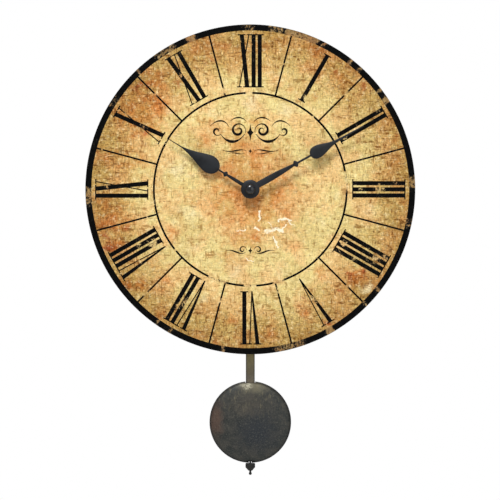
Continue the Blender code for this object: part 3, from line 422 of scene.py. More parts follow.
def paper_tree():
    """The node group for the paper: colour, height and roughness anywhere on the dial."""
    tree = bpy.data.node_groups.new("parchment", "ShaderNodeTree")
    for name, kind in (("Color", "Color"), ("Height", "Float"), ("Roughness", "Float")):
        tree.interface.new_socket(name, in_out="OUTPUT", socket_type=f"NodeSocket{kind}")
    graph = Graph(tree)
    flat = graph.flat()
    radius = graph.vector("LENGTH", flat)
    blots = graph.noise(flat, 9, 5, 0.62, shift=3)
    mottle = graph.noise(flat, 3.4, 4, 0.65, shift=1)
    outer = graph.steps(radius, RING_RADIUS + 2, RIM_INNER - 14)
    tone = graph.steps(graph.noise(flat, 24, 4, 0.6, shift=5), 0.36, 0.66)
    tone = graph.plus(graph.times(tone, 0.45), graph.times(outer, 0.55))
    hue = graph.noise(flat, 22, 3, 0.55, shift=121)
    browned = graph.times(graph.steps(graph.noise(flat, 13, 5, 0.66, shift=91), 0.42, 0.66), outer)
    bent = graph.bent(flat, 0.11, 4, 8)
    speckle = graph.times(graph.math("SUBTRACT", blots, 0.5), 1.5)
    pale = graph.steps(graph.math("SUBTRACT", spots(graph, bent, PALE_PATCHES), speckle), 0.15, 0.95)
    glow = graph.steps(radius, 68, 14, 0, 0.72)
    orange = graph.math("MAXIMUM", spots(graph, bent, ORANGE_STAINS), glow)
    red = graph.plus(spots(graph, bent, RED_STAINS), speckle)
    crack, fine = cracks(graph, flat, 8, 11), cracks(graph, flat, 3.6, 41)
    depth = graph.steps(outer, 0, 1, 0.66, 0.9)
    colour = graph.mix(tone, srgb(234, 210, 155), srgb(202, 168, 108))
    tint = graph.tones(hue, 0.4, 0.62, (250, 255, 234), (255, 240, 222))
    colour = graph.layers(
        graph.mix(1, colour, tint, "MULTIPLY"),
        (graph.times(browned, 0.6), (224, 204, 186), "MULTIPLY"),
        (graph.steps(radius, RING_RADIUS + 14, RIM_INNER), (226, 214, 200), "MULTIPLY"),
        (graph.times(pale, 0.6), (241, 225, 179)),
        (graph.steps(graph.plus(orange, speckle), 0.05, 0.95), (238, 191, 160), "MULTIPLY"),
        (graph.steps(red, 0.25, 0.95), (222, 166, 160), "MULTIPLY"),
        (graph.steps(mottle, 0.5, 0.68, 0, 0.7), (232, 218, 202), "MULTIPLY"),
        (graph.steps(mottle, 0.48, 0.32, 0, 0.4), (250, 232, 180)),
        (graph.times(crack, depth), (172, 144, 110), "MULTIPLY"),
        (graph.times(fine, graph.times(depth, 0.7)), (176, 162, 140), "MULTIPLY"))
    grain = graph.total([graph.noise(flat, 1.1, 2, 0.5, (0.35, 1, 1), 51),
                         graph.noise(flat, 1.1, 2, 0.5, (1, 0.35, 1), 57),
                         graph.noise(flat, 1.3, 2, 0.6, shift=61)], "ADD")
    contrast = graph.steps(outer, 0, 1, 0.56, 1.2)
    shade = graph.plus(graph.times(graph.math("SUBTRACT", grain, 1.5), contrast), 1)
    shade = graph.node("ShaderNodeCombineXYZ", {0: shade, 1: shade, 2: shade}).outputs[0]
    scratch = graph.times(segments(graph, graph.bent(flat, 0.3, 3, 2.5), SCRATCHES),
                          graph.steps(blots, 0.3, 0.5))
    colour = graph.layers(graph.mix(1, colour, shade, "MULTIPLY"), (scratch, (248, 236, 206)))
    height = graph.total([graph.times(grain, 0.45), graph.times(mottle, 0.5),
                          graph.times(graph.total([crack, fine]), -1)], "ADD")
    graph.node("NodeGroupOutput", {0: colour, 1: height, 2: graph.steps(mottle, 0.3, 0.7, 0.72, 0.88)})
    return tree


PAPER = paper_tree()


def paper_look(graph):
    made = graph.node("ShaderNodeGroup", node_tree=PAPER).outputs
    return made["Color"], made["Roughness"], made["Height"], 0.05


def arcs_worn(graph, flat, rows):
    """How worn a ring is at a point, from (start, end, strength) stretches in clock degrees."""
    axes = graph.axes(flat)
    angle = graph.times(graph.math("ARCTAN2", axes["X"], axes["Y"]), 180 / math.pi)
    angle = graph.plus(angle, graph.noise(flat, 5, 3, 0.6, shift=71))
    values = []
    for start, end, strength in rows:
        off = graph.math("ABSOLUTE", graph.math("SUBTRACT", angle, (start + end) / 2 + 0.5))
        half = (end - start) / 2
        values.append(graph.steps(off, half + 1, max(half - 1.2, 0), 0, strength))
    return graph.total(values)


def ink(name, faded, worn_by=None, rows=(), tint=(2, 2, 2), ground=(0.2, (176, 152, 120))):
    """Printed black over the paper, worn through to it where the rows say and in small flecks all over.

    The ground is what shows where the ink is gone: how far the paper's colour goes to another.
    """
    def look(graph):
        paper, rough, paper_height, _ = paper_look(graph)
        flat = graph.flat()
        ragged = graph.noise(flat, 2.2, 5, 0.7, (1, 0.8, 1), 81)
        worn = graph.plus(graph.noise(flat, 16, 2, 0.5, shift=83), faded - 0.34)
        if worn_by:
            worn = graph.math("MAXIMUM", worn, worn_by(graph, flat, rows))
        level = graph.plus(worn, graph.times(graph.math("SUBTRACT", ragged, 0.5), 2.6))
        gone = graph.steps(level, 0.5, 0.78)
        black = graph.layers(graph.tones(ragged, 0.4, 0.75, tint, paler(tint, 8)),
                             (graph.steps(level, 0.2, 0.8, 0, 0.25), (90, 84, 74)))
        colour = graph.mix(gone, black, graph.layers(paper, ground))
        height = graph.plus(graph.times(paper_height, 0.6), graph.times(gone, -1.2))
        return colour, graph.times(rough, 0.9), height, 0.04
    return material(name, look, specular=0.06)


# ---- other finishes ----

def board_look(graph):
    """Black painted edge, scuffed along its corners, over bare brown fibreboard at the back."""
    place = graph.millimetres()
    fibre = graph.noise(place, 0.8, 5, 0.7, (1, 1, 0.6))
    clumps = graph.noise(place, 14, 3, 0.6, shift=4)
    bare = graph.layers(graph.tones(fibre, 0.34, 0.68, (122, 92, 64), (164, 128, 92)),
                        (graph.steps(clumps, 0.45, 0.7, 0, 0.35), (96, 68, 46)))
    rub = graph.plus(graph.noise(place, 6, 5, 0.7, shift=7), graph.times(graph.edges(0.5), 0.12))
    paint = graph.tones(fibre, 0.4, 0.7, (20, 18, 17), (38, 34, 31))
    back = graph.steps(graph.axes(place)["Y"], BOARD_BACK - 0.7, BOARD_BACK - 0.5)
    colour = graph.mix(graph.math("MAXIMUM", graph.steps(rub, 0.63, 0.68), back), paint, bare)
    return colour, graph.steps(back, 0, 1, 0.55, 0.85), fibre, 0.12


def moulded(dark, light, grain=0.35, scratches=0, rough=(0.42, 0.6)):
    """A plastic look: fine moulded texture, slow tone changes, paler rubbed edges, faint scratches."""
    def look(graph):
        place = graph.millimetres()
        tooth = graph.noise(place, grain, 3, 0.6)
        slow = graph.noise(place, 18, 3, 0.55, shift=2)
        dust = graph.noise(place, 2.4, 6, 0.75, shift=8)
        rubbed = graph.times(graph.edges(0.35), graph.steps(slow, 0.3, 0.7, 0.15, 0.6))
        colour = graph.layers(graph.tones(slow, 0.35, 0.68, dark, light), (rubbed, paler(light, 38)),
                              (graph.steps(dust, 0.6, 0.8, 0, 0.22 + scratches), paler(light, 24)))
        return colour, graph.steps(tooth, 0.3, 0.7, *rough), tooth, 0.03
    return look


def brushed(dark, light, tarnish=(90, 80, 62), along=(1, 1, 0.06)):
    """A metal look: fine lines one way, slow tarnish, brighter edges."""
    def look(graph):
        place = graph.millimetres()
        lines = graph.noise(place, 0.22, 3, 0.6, along)
        slow = graph.noise(place, 7, 4, 0.6, shift=6)
        colour = graph.layers(graph.tones(lines, 0.35, 0.68, dark, light),
                              (graph.steps(slow, 0.48, 0.72, 0, 0.35), tarnish),
                              (graph.times(graph.edges(0.2), 0.4), paler(light, 30)))
        mixed = graph.times(graph.plus(lines, slow), 0.5)
        return colour, graph.steps(mixed, 0.35, 0.65, 0.26, 0.44), lines, 0.012
    return look


def enamel_look(graph):
    """Blue-black satin paint on the hands: faint orange peel, thin dust, and a painted highlight that makes
    the edges a little paler.
    """
    place = graph.millimetres()
    slow = graph.noise(place, 11, 4, 0.6, shift=3)
    dust = graph.noise(place, 1.6, 5, 0.75, shift=9)
    colour = graph.layers(graph.tones(slow, 0.35, 0.66, (11, 14, 17), (20, 24, 29)),
                          (graph.steps(dust, 0.6, 0.75, 0, 0.3), (40, 43, 46)),
                          # Painted highlight: the edges of the hands a little paler.
                          (graph.times(graph.edges(0.25), 0.5), (20, 23, 26)))
    return colour, graph.steps(slow, 0.3, 0.7, 0.34, 0.5), graph.noise(place, 0.9, 3, 0.5), 0.015


def cap_look(graph):
    """Polished black nickel on the cap nut: near mirror, with faint turning marks and a few dull spots."""
    place = graph.millimetres()
    rings = graph.noise(place, 0.3, 2, 0.5, (0.4, 2, 0.4))
    dull = graph.noise(place, 1.4, 4, 0.65, shift=5)
    colour = graph.tones(dull, 0.4, 0.7, (8, 10, 13), (24, 28, 34))
    return colour, graph.steps(dull, 0.3, 0.7, 0.14, 0.3), rings, 0.006


def bob_look(graph):
    """Aged gunmetal on the bob: mottled and rusty at the left, with a painted highlight in khaki and a
    whitish fleck at the top, painted shade in blue-grey low in the middle, and a painted dark band round the
    rolled rim.
    """
    flat = graph.flat()
    bent = graph.bent(flat, 0.16, 4, 7)

    def patch(x, above, size, strength, squeeze=(1, 1)):
        """A soft patch at a place given from the bob's centre."""
        away = graph.vector("SUBTRACT", bent, (x, BOB_Z + above, 0))
        away = graph.vector("LENGTH", graph.vector("MULTIPLY", away, (*squeeze, 0)))
        return graph.times(graph.steps(away, size, size * 0.15), strength)

    fine = graph.noise(flat, 1.5, 5, 0.7, shift=5)
    coarse = graph.noise(flat, 7, 5, 0.62, shift=15)
    streaks = graph.steps(graph.noise(flat, 2.4, 4, 0.7, (1, 0.3, 1), 25), 0.52, 0.7)
    # Mask for the painted highlight: it grows towards the top of the bob, where the streaks are made paler.
    upper = graph.steps(graph.axes(flat)["Y"], BOB_Z - 6, BOB_Z + 24, 0, 0.55)
    from_middle = graph.vector("DISTANCE", flat, (0, BOB_Z, 0))
    colour = graph.layers(
        graph.tones(coarse, 0.36, 0.66, (38, 42, 40), (62, 61, 56)),
        # Painted shade: blue-grey, low in the middle of the dome.
        (patch(6, -8, 26, 0.85), (34, 40, 46)),
        (patch(-31, 3, 14, 0.75, (1.3, 0.6)), (88, 66, 54)),
        # Painted highlight: a paler patch on the upper half, khaki at the top, and khaki streaks towards the
        # top.
        (patch(-2, 15, 16, 0.5, (0.7, 1)), (78, 72, 62)),
        (patch(2, 33, 12, 0.75, (0.6, 1)), (116, 110, 88)),
        (graph.times(streaks, upper), (124, 116, 90)),
        (graph.steps(fine, 0.53, 0.7, 0, 0.6), (100, 98, 88)),
        (graph.steps(fine, 0.47, 0.28, 0, 0.7), (18, 20, 20)),
        # Painted highlight: a whitish fleck near the top.
        (graph.times(patch(-3, 31.5, 5, 0.8, (0.7, 1)), graph.steps(fine, 0.42, 0.55)), (176, 172, 150)),
        # Painted shade: a dark band round the rolled rim.
        (graph.steps(from_middle, BOB_RADIUS - 2.4, BOB_RADIUS - 0.4, 0, 0.75), (16, 17, 17)))
    return colour, graph.steps(graph.plus(fine, coarse), 0.8, 1.25, 0.46, 0.72), fine, 0.05


def rod_look(graph):
    """Aged brassy steel on the pendulum rod: khaki at the top, greyer lower down, dark at both edges."""
    place = graph.millimetres()
    axes = graph.axes(place)
    fine = graph.noise(place, 1.3, 5, 0.7, (1, 1, 0.5))
    coarse = graph.noise(place, 8, 4, 0.6, shift=4)
    colour = graph.layers(
        graph.tones(axes["Z"], -168, -138, (98, 92, 84), (138, 130, 88)),
        (graph.steps(coarse, 0.42, 0.68, 0, 0.5), (118, 104, 74)),
        (graph.steps(fine, 0.55, 0.75, 0, 0.5), (160, 152, 122)),
        (graph.steps(fine, 0.45, 0.25, 0, 0.6), (66, 62, 52)),
        (graph.steps(graph.math("ABSOLUTE", axes["X"]), 2.3, 3.7, 0, 0.72), (46, 44, 40)))
    return colour, graph.steps(fine, 0.3, 0.7, 0.4, 0.62), fine, 0.04


def sleeve_look(graph):
    """The battery's printed sleeve: charcoal with one light band, slightly scuffed."""
    place = graph.millimetres()
    scuff = graph.noise(place, 1.2, 5, 0.7, (0.3, 1, 1))
    from_band = graph.math("ABSOLUTE", graph.plus(graph.axes(place)["X"], 17))
    colour = graph.layers(graph.tones(from_band, 4.2, 3.9, (54, 56, 62), (176, 176, 170)),
                          (graph.steps(scuff, 0.58, 0.76, 0, 0.4), (150, 150, 148)))
    return colour, graph.steps(scuff, 0.3, 0.7, 0.28, 0.44), scuff, 0.01


def winding_look(graph):
    """Fine enamelled copper wire laid turn by turn."""
    place = graph.millimetres()
    inputs = {"Vector": place, "Scale": 1.6, "Distortion": 0.6, "Detail": 2}
    turns = graph.node("ShaderNodeTexWave", inputs, bands_direction="Z").outputs["Fac"]
    slow = graph.noise(place, 3, 3, 0.6)
    colour = graph.layers(graph.mix(turns, srgb(120, 56, 24), srgb(214, 128, 72)),
                          (graph.steps(slow, 0.5, 0.75, 0, 0.4), (150, 70, 36)))
    return colour, graph.steps(turns, 0, 1, 0.34, 0.5), turns, 0.05


def laminate_look(graph):
    """A green solder-masked board with paler copper tracks under the mask."""
    place = graph.millimetres()
    tracks = graph.noise(place, 3.6, 1, 0.4, (1, 1, 0.3), 3)
    line = graph.steps(graph.math("ABSOLUTE", graph.math("SUBTRACT", tracks, 0.5)), 0.03, 0.015)
    weave = graph.noise(place, 0.5, 2, 0.5)
    colour = graph.layers(graph.tones(weave, 0.3, 0.7, (22, 84, 46), (30, 100, 56)),
                          (graph.times(line, 0.6), (74, 146, 84)))
    return colour, graph.steps(weave, 0.3, 0.7, 0.26, 0.4), line, 0.03


# Each record slot's material: name, look, metallic, specular level.
FINISHES = {
    "dial_board": ("fibreboard_painted", board_look),
    "dial_paper": ("parchment_print", paper_look, 0, 0.1),
    "black_rubber": ("rubber_black", moulded((20, 20, 20), (34, 34, 34), 0.5, 0.1, (0.7, 0.9))),
    "brass": ("brass_turned", brushed((150, 112, 50), (206, 166, 88), along=(0.2, 1, 1)), 1),
    "case_plastic": ("plastic_black_textured", moulded((24, 24, 26), (38, 38, 41), 0.4, 0.1)),
    "gear_plastic": ("acetal_natural", moulded((212, 208, 194), (232, 229, 216), 0.3)),
    "knob_plastic": ("plastic_grey", moulded((168, 166, 160), (194, 192, 186), 0.3, 0.1)),
    "bobbin_plastic": ("plastic_red_brown", moulded((134, 52, 34), (166, 70, 46), 0.3)),
    "board_laminate": ("laminate_green", laminate_look),
    "chip_resin": ("resin_black", moulded((14, 14, 14), (26, 26, 26), 0.8, 0, (0.2, 0.3))),
    "copper_wire": ("copper_winding", winding_look, 0.8),
    "magnet": ("magnet_sintered", moulded((62, 62, 66), (88, 88, 92), 0.25, 0.15)),
    "battery_sleeve": ("battery_print", sleeve_look, 0.3),
    "steel": ("steel_plated", brushed((132, 132, 134), (196, 196, 198), (120, 112, 98)), 1),
    "hand_enamel": ("enamel_blue_black", enamel_look, 0, 0.35),
    "rod_metal": ("gunmetal_khaki", rod_look, 0.35),
    "bob_metal": ("gunmetal_mottled", bob_look, 0.35),
}
FINISH = {slot: material(*row) for slot, row in FINISHES.items()}


def dress(piece, slot, body, *nodes, finish=None):
    """Gives a piece its finish, which is its record slot's unless another is given, hangs it on its body and
    hides the CAD nodes that it stands for.
    """
    piece.data.materials.clear()
    piece.data.materials.append(finish or FINISH[slot])
    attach(piece, body)
    if nodes:
        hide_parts(*nodes)


def refine(node, name, width, slot, body, segments=2):
    """Stands a rounded copy in for a CAD node."""
    dress(refined(node, name, width, segments), slot, body, node)


# ---- the dial ----

def make_board():
    """The fibreboard disc with softened corners, and the paper with its thin cut edge."""
    corner, lip, bands = 0.8, 0.06, 12
    front = arc((DIAL_RADIUS - corner, BOARD_FRONT + corner), (corner, corner), -90, 0, 5)
    back = arc((DIAL_RADIUS - corner, BOARD_BACK - corner), (corner, corner), 0, 90, 5)
    profile = [(CENTRE_HOLE, BOARD_FRONT), (40, BOARD_FRONT), (100, BOARD_FRONT)] + front + back
    profile += [(100, BOARD_BACK), (40, BOARD_BACK), (CENTRE_HOLE, BOARD_BACK)]
    dress(mesh_of("board_disc", lathe(profile, 240)), "dial_board", "clock", "dial_board")
    profile = [(CENTRE_HOLE + (PAPER_RADIUS - CENTRE_HOLE) * i / bands, PAPER_FRONT) for i in range(bands)]
    profile += [(PAPER_RADIUS - lip, PAPER_FRONT), (PAPER_RADIUS, PAPER_FRONT + lip),
                (PAPER_RADIUS, PAPER_BACK), (CENTRE_HOLE, PAPER_BACK)]
    dress(mesh_of("printed_paper", lathe(profile, 240)), "dial_paper", "clock", "dial_print")


def ink_ring(name, inner, outer, finish):
    profile = [(inner, INK_FRONT), (outer, INK_FRONT), (outer, INK_BACK), (inner, INK_BACK)]
    dress(mesh_of(name, lathe(profile, 360)), "dial_paper", "clock", finish=finish)


# Where the print is worn. Rings: start and end angle, strength. Lines and numerals: as the patches above.
RIM_WEAR = [
    (-23.5, -19.5, 1), (-36, -27, 0.62), (-44, -43, 0.7), (-96, -89, 0.66), (6, 12, 0.6), (12, 25, 0.82),
    (26, 28, 0.66), (37.3, 38.7, 0.7), (41.5, 43, 0.72), (52, 53.2, 0.7), (55.3, 57.8, 1), (85, 90, 0.7),
    (127.4, 128.8, 0.8), (148.8, 152.2, 1), (160, 172, 0.62), (-171, -169.5, 0.62), (-151, -150, 0.7),
    (134.4, 135.4, 0.62), (-145.4, -144.6, 0.62), (-3, 2, 0.5), (-60, -55, 0.46), (100, 104, 0.5),
]
RING_WEAR = [
    (176, 180, 1), (-180, -176, 1), (159, 167, 0.8), (-166, -154, 0.8), (-129.7, -128.4, 0.9),
    (79, 92, 0.78), (-3, 1.4, 1), (-62, -58, 0.55), (40, 42, 0.6), (-100, -96, 0.5),
]
LINE_WEAR = [
    (45, 117, 4, 1.3), (225, 127.5, 4.4, 1.3), (135, 118.2, 2.2, 1.3), (345, 88, 4, 1.3),
    (15, 112, 1.6, 1.1), (315, 116, 1.8, 1.1), (195, 100, 4.2, 0.95), (165, 90, 6, 0.75),
    (285, 133, 2, 0.9), (255, 92, 1.8, 0.9), (75, 131, 2, 0.8), (105, 126, 1.6, 0.8),
]
NUMERAL_WEAR = [
    (90, 112, 7, 0.92), (90, 96, 4, 0.7), (88, 125, 4, 0.7), (120, 93, 5, 0.85), (119, 124, 7, 0.9),
    (117, 130, 5, 0.8), (124, 108, 5, 0.7), (150, 110, 7, 0.85), (181, 102, 3, 0.9), (210, 112, 7, 0.72),
    (212, 118, 4, 0.8), (207, 104, 3, 0.7), (240, 96, 8, 0.85), (237, 116, 5, 0.8), (244, 108, 5, 0.75),
    (270, 103, 4, 0.66), (271, 124, 4, 0.66), (301, 126, 3, 1), (300, 108, 4, 0.72), (329, 115, 5, 0.75),
    (31, 93, 4, 0.85), (61, 93, 4, 0.8), (58, 130, 4, 0.6), (0, 112, 5, 0.55), (356, 128, 4, 0.6),
]
# Each numeral: its letters, clock angle, and how far it stands to the right of its radius.
NUMERALS = [
    ("XII", 0, 0), ("I", 30, 0), ("II", 60, 0), ("III", 90, 0), ("IIII", 120, 0), ("V", 150, 0),
    ("VI", 180, -0.6), ("VII", 210, -2.2), ("VIII", 240, 0), ("IX", 270, 0), ("X", 300, 0), ("XI", 330, 0),
]


def glyph(kind, left):
    """A letter's strokes as outlines (u, v), its serif spans at foot and top, and where the next starts."""
    foot, top = NUMERAL_FOOT, NUMERAL_TOP

    def stroke(a, b, width):
        half = width / 2
        return [(a - half, top), (a + half, top), (b + half, foot), (b - half, foot)]

    if kind == "I":
        middle = left + BAR_WIDTH / 2
        span = (left, left + BAR_WIDTH)
        return [stroke(middle, middle, BAR_WIDTH)], [span], [span], left + BAR_PITCH
    if kind == "V":
        thick = left + THICK_STROKE / 2
        apex = thick + 4.9
        strokes = [[(thick - 1.75, top), (thick + 1.75, top), (apex + 0.6, foot), (apex - 0.5, foot)],
                   stroke(thick + 6.8, apex + 0.1, THIN_STROKE)]
        return strokes, [], [(left, left + THICK_STROKE), (thick + 6.3, thick + 7.3)], left + 11.5
    thin_foot = left + 0.5
    strokes = [stroke(thin_foot + 2, thin_foot + 6.8, THICK_STROKE),
               stroke(thin_foot + 8.3, thin_foot, THIN_STROKE)]
    feet = [(thin_foot - 0.5, thin_foot + 0.5), (thin_foot + 5.05, thin_foot + 8.55)]
    tops = [(thin_foot + 0.25, thin_foot + 3.75), (thin_foot + 7.8, thin_foot + 8.8)]
    return strokes, feet, tops, left + 11


def joined(spans):
    """Serif spans lengthened by their reach and merged where they meet, so neighbours share one line."""
    merged = []
    for low, high in sorted((a - SERIF_REACH, b + SERIF_REACH) for a, b in spans):
        if merged and low <= merged[-1][1]:
            merged[-1][1] = max(high, merged[-1][1])
        else:
            merged.append([low, high])
    return merged


def make_numeral(text, angle, shift, finish):
    """One numeral, feet towards the centre, its strokes and serifs joined into one thin solid."""
    left, strokes, feet, tops = 0, [], [], []
    for kind in text:
        more, low, high, left = glyph(kind, left)
        strokes, feet, tops = strokes + more, feet + low, tops + high
    width = left - (BAR_PITCH - BAR_WIDTH)
    for spans, level in ((feet, NUMERAL_FOOT), (tops, NUMERAL_TOP - SERIF)):
        for low, high in joined(spans):
            strokes.append([(low, level), (high, level), (high, level + SERIF), (low, level + SERIF)])
    parts = []
    for index, outline in enumerate(strokes):
        nudge = 0.0004 * index               # keeps the faces of crossing strokes off one plane
        placed = turned([(a - width / 2 + shift, b) for a, b in outline], angle)
        bm = slab(placed, INK_BACK + nudge, INK_FRONT - nudge)
        bmesh.ops.recalc_face_normals(bm, faces=bm.faces)
        mesh = bpy.data.meshes.new("stroke")
        bm.to_mesh(mesh)
        bm.free()
        parts.append(link("stroke", mesh))
    whole = parts[0]
    boolean(whole, "UNION", parts[1:])
    whole.data.transform(Matrix.Scale(MM, 4))
    whole.name = f"numeral_{text}"
    dress(whole, "dial_paper", "clock", finish=finish)


def make_lines(finish):
    """The twelve thin lines between the numerals."""
    half, end = LINE_WIDTH / 2, RIM_INNER + 0.2
    corners = [(-half, RING_RADIUS), (half, RING_RADIUS), (half, end), (-half, end)]
    for angle in range(15, 360, 30):
        line = mesh_of(f"dial_line_{angle}", slab(turned(corners, angle), INK_BACK, INK_FRONT + 0.004))
        dress(line, "dial_paper", "clock", finish=finish)


# ---- the ornaments that fill the printed areas of the dial ----

def pen_stroke(points, thin, thick, bm):
    """A swelling pen stroke as a thin solid strip in bm, and its mirror image."""
    last = len(points) - 1
    for side in (1, -1):
        rails = ([], [])
        for i, (x, z) in enumerate(points):
            before, after = points[max(i - 1, 0)], points[min(i + 1, last)]
            run = Vector((side * (after[0] - before[0]), after[1] - before[1])).normalized()
            half = (thin + (thick - thin) * math.sin(math.pi * i / last) ** 2) / 2
            rails[0].append((x * side - run.y * half, z + run.x * half))
            rails[1].append((x * side + run.y * half, z - run.x * half))
        order = [[bm.verts.new((x, y, z)) for x, z in rails[rail]]
                 for rail, y in ((0, INK_BACK), (0, INK_FRONT), (1, INK_FRONT), (1, INK_BACK))]
        for a, b in zip(order, order[1:] + order[:1]):
            for i in range(last):
                bm.faces.new((a[i], a[i + 1], b[i + 1], b[i]))
        for end in (0, -1):
            bm.faces.new([row[end] for row in order])


def spiral(centre, start_radius, end_radius, start, end, count=40):
    """Points on a spiral from one radius and angle to another."""
    made = []
    for share in (i / count for i in range(count + 1)):
        turn = math.radians(start + (end - start) * share)
        radius = start_radius + (end_radius - start_radius) * share
        made.append((centre[0] + radius * math.cos(turn), centre[1] + radius * math.sin(turn)))
    return made


def make_ornament(name, finish, level, half_width, half_height, strokes):
    """A four-pointed leaf with hollow sides, and pen strokes (points, thin, thick) on both sides of it."""
    bm, outline = bmesh.new(), []
    corners = [(half_width, 0), (0, half_height), (-half_width, 0), (0, -half_height)]
    for a, b in zip(corners, corners[1:] + corners[:1]):
        pull = (a[0] * 0.28 + b[0] * 0.28, a[1] * 0.28 + b[1] * 0.28)
        outline += bezier(a, pull, pull, b, 8)[:-1]
    slab([(u, level + v) for u, v in outline], INK_BACK, INK_FRONT, bm)
    for stroke in strokes:
        pen_stroke(*stroke, bm)
    dress(mesh_of(name, bm), "dial_paper", "clock", finish=finish)


def make_scrollwork():
    """Two symmetrical ornaments above the centre and a small one below."""
    soft = ink("ornament_ink_soft", 0, tint=(40, 28, 18))
    make_ornament("ornament_upper", ink("ornament_ink", 0, tint=(14, 10, 8)), 49, 2.8, 7.6, (
        (spiral((10.4, 51), 6.6, 1.2, 200, -330), 0.45, 2.3),
        (bezier((4.8, 47.8), (12, 37.6), (21, 40.6), (25.6, 47.6), 26), 0.45, 2.5),
        (spiral((28.6, 50.2), 4.2, 0.9, 215, 560), 0.4, 1.8),
        (bezier((18.6, 54.2), (22, 61), (29, 60.6), (34.6, 54.6), 24), 0.35, 1.4),
        (bezier((3.2, 58.4), (7, 63.6), (13.6, 62.6), (17.4, 58.8), 20), 0.35, 1.3)))
    make_ornament("ornament_middle", soft, 33, 1.7, 2.3, (
        (bezier((3.4, 33.2), (9, 36.4), (16, 30), (24.5, 34.2), 28), 0.35, 1.35),
        (bezier((5, 31), (10, 29.4), (14, 33), (19, 30.8), 18), 0.3, 0.9)))
    make_ornament("ornament_lower", soft, -53, 1.9, 3, (
        (spiral((6.6, -52.2), 3.4, 0.7, 190, -200), 0.35, 1.3),
        (bezier((4.2, -54.4), (9, -58), (15, -50.4), (21, -53.2), 24), 0.35, 1.4)))


# ---- the hands ----

def hour_outline():
    """Half-widths along the hour hand, as (half width, distance), from inside its boss to its tip."""
    made = [(1.55, 4.5), (1.55, 8)] + bezier((1.55, 9), (1.55, 13), (1.5, 19), (1, 23.4), 10)
    made += arc((0, 25), (2.45, 1.7), -50, 50, 10)
    made += [(0.75, 27.2), (0.75, 32)]
    made += arc((0, 41), (7.8, 9), -75, 0, 14)
    made += bezier((7.8, 41), (7.8, 47), (2.6, 55.5), (0.9, 67.4), 20)[1:]
    return made + [(0.5, 70.5), (0.4, 77), (0.28, 82.6)]


def minute_outline():
    """Half-widths along the minute hand, as (half width, distance), from inside its boss to its tip."""
    made = [(2.6, 6), (2.7, 9)] + bezier((2.75, 10), (2.9, 18), (2.9, 28), (1.2, 42.4), 14)
    made += arc((0, 44.9), (3, 1.9), -55, 55, 10)
    made += [(0.92, 47.2), (0.92, 59.6)]
    made += arc((0, 65.3), (5.6, 5.9), -75, 0, 12)
    made += bezier((5.6, 65.3), (5.6, 73), (1.6, 76), (1.05, 88), 18)[1:]
    return made + [(0.8, 96), (0.55, 106), (0.42, 112.2)]


HOUR_BOSS = [
    (2.62, -37), (5.6, -37), (6, -37.3), (6, -37.7), (5.8, -38), (5.3, -38.2), (3.4, -38.3), (2.8, -38.2),
    (2.62, -38),
]
MINUTE_BOSS = [
    (1.9, -40.1), (7.8, -40.1), (8.1, -40.4), (8.1, -40.9), (7.9, -41.2), (7.4, -41.45), (6.6, -41.6),
    (5.4, -41.75), (4.6, -41.8), (2.2, -41.8), (1.9, -41.6),
]


def blade(outline, back, front, angle, crown):
    """A hand's blade: a flat pressing with rounded upper edges and a low crown along its middle."""
    bm = bmesh.new()
    rows = []
    for width, along in outline:
        edge = min(0.4, width * 0.45)
        rise = crown * min(1, width / 4)
        section = [(-width, back), (-width, front + edge * 0.8), (-width + edge * 0.35, front + edge * 0.25),
                   (-width + edge, front), (0, front - rise), (width - edge, front),
                   (width - edge * 0.35, front + edge * 0.25), (width, front + edge * 0.8), (width, back)]
        flat = turned([(u, along) for u, _ in section], angle)
        rows.append([bm.verts.new((x, y, z)) for (x, z), (_, y) in zip(flat, section)])
    for a, b in zip(rows, rows[1:]):
        for i in range(len(a)):
            j = (i + 1) % len(a)
            bm.faces.new((a[i], a[j], b[j], b[i]))
    bm.faces.new(rows[0])
    bm.faces.new(rows[-1])
    return bm


def make_hands():
    """Both hands with their bosses, and the domed cap nut."""
    for body, shape, boss, count in (
            ("hour", (hour_outline(), HOUR_BACK, HOUR_FRONT, HOUR_ANGLE, 0.12), HOUR_BOSS, 96),
            ("minute", (minute_outline(), MINUTE_BACK, MINUTE_FRONT, MINUTE_ANGLE, 0.14), MINUTE_BOSS, 128)):
        node = f"{body}_hand"
        dress(mesh_of(f"{node}_blade", blade(*shape), 40), "hand_enamel", body, node)
        dress(mesh_of(f"{node}_boss", lathe(boss, count)), "hand_enamel", body, node)
    low, high = box_of("cap_nut")
    radius, front, back, bore, skirt = high.x, low.y, high.y, 1.85, 1.5
    dome = arc((0, back - skirt), (radius, front - back + skirt), 0, 84, 14)
    profile = [(bore, back), (radius - 0.5, back), (radius - 0.1, back - 0.3), (radius, back - 0.8)] + dome
    profile += [(0, front), (0, back - skirt - 0.1), (bore, back - skirt - 0.1)]
    nickel = material("nickel_black", cap_look, specular=0.6)
    dress(mesh_of("domed_cap_nut", lathe(profile, 96)), "hand_enamel", "minute", "cap_nut", finish=nickel)


# ---- the pendulum ----

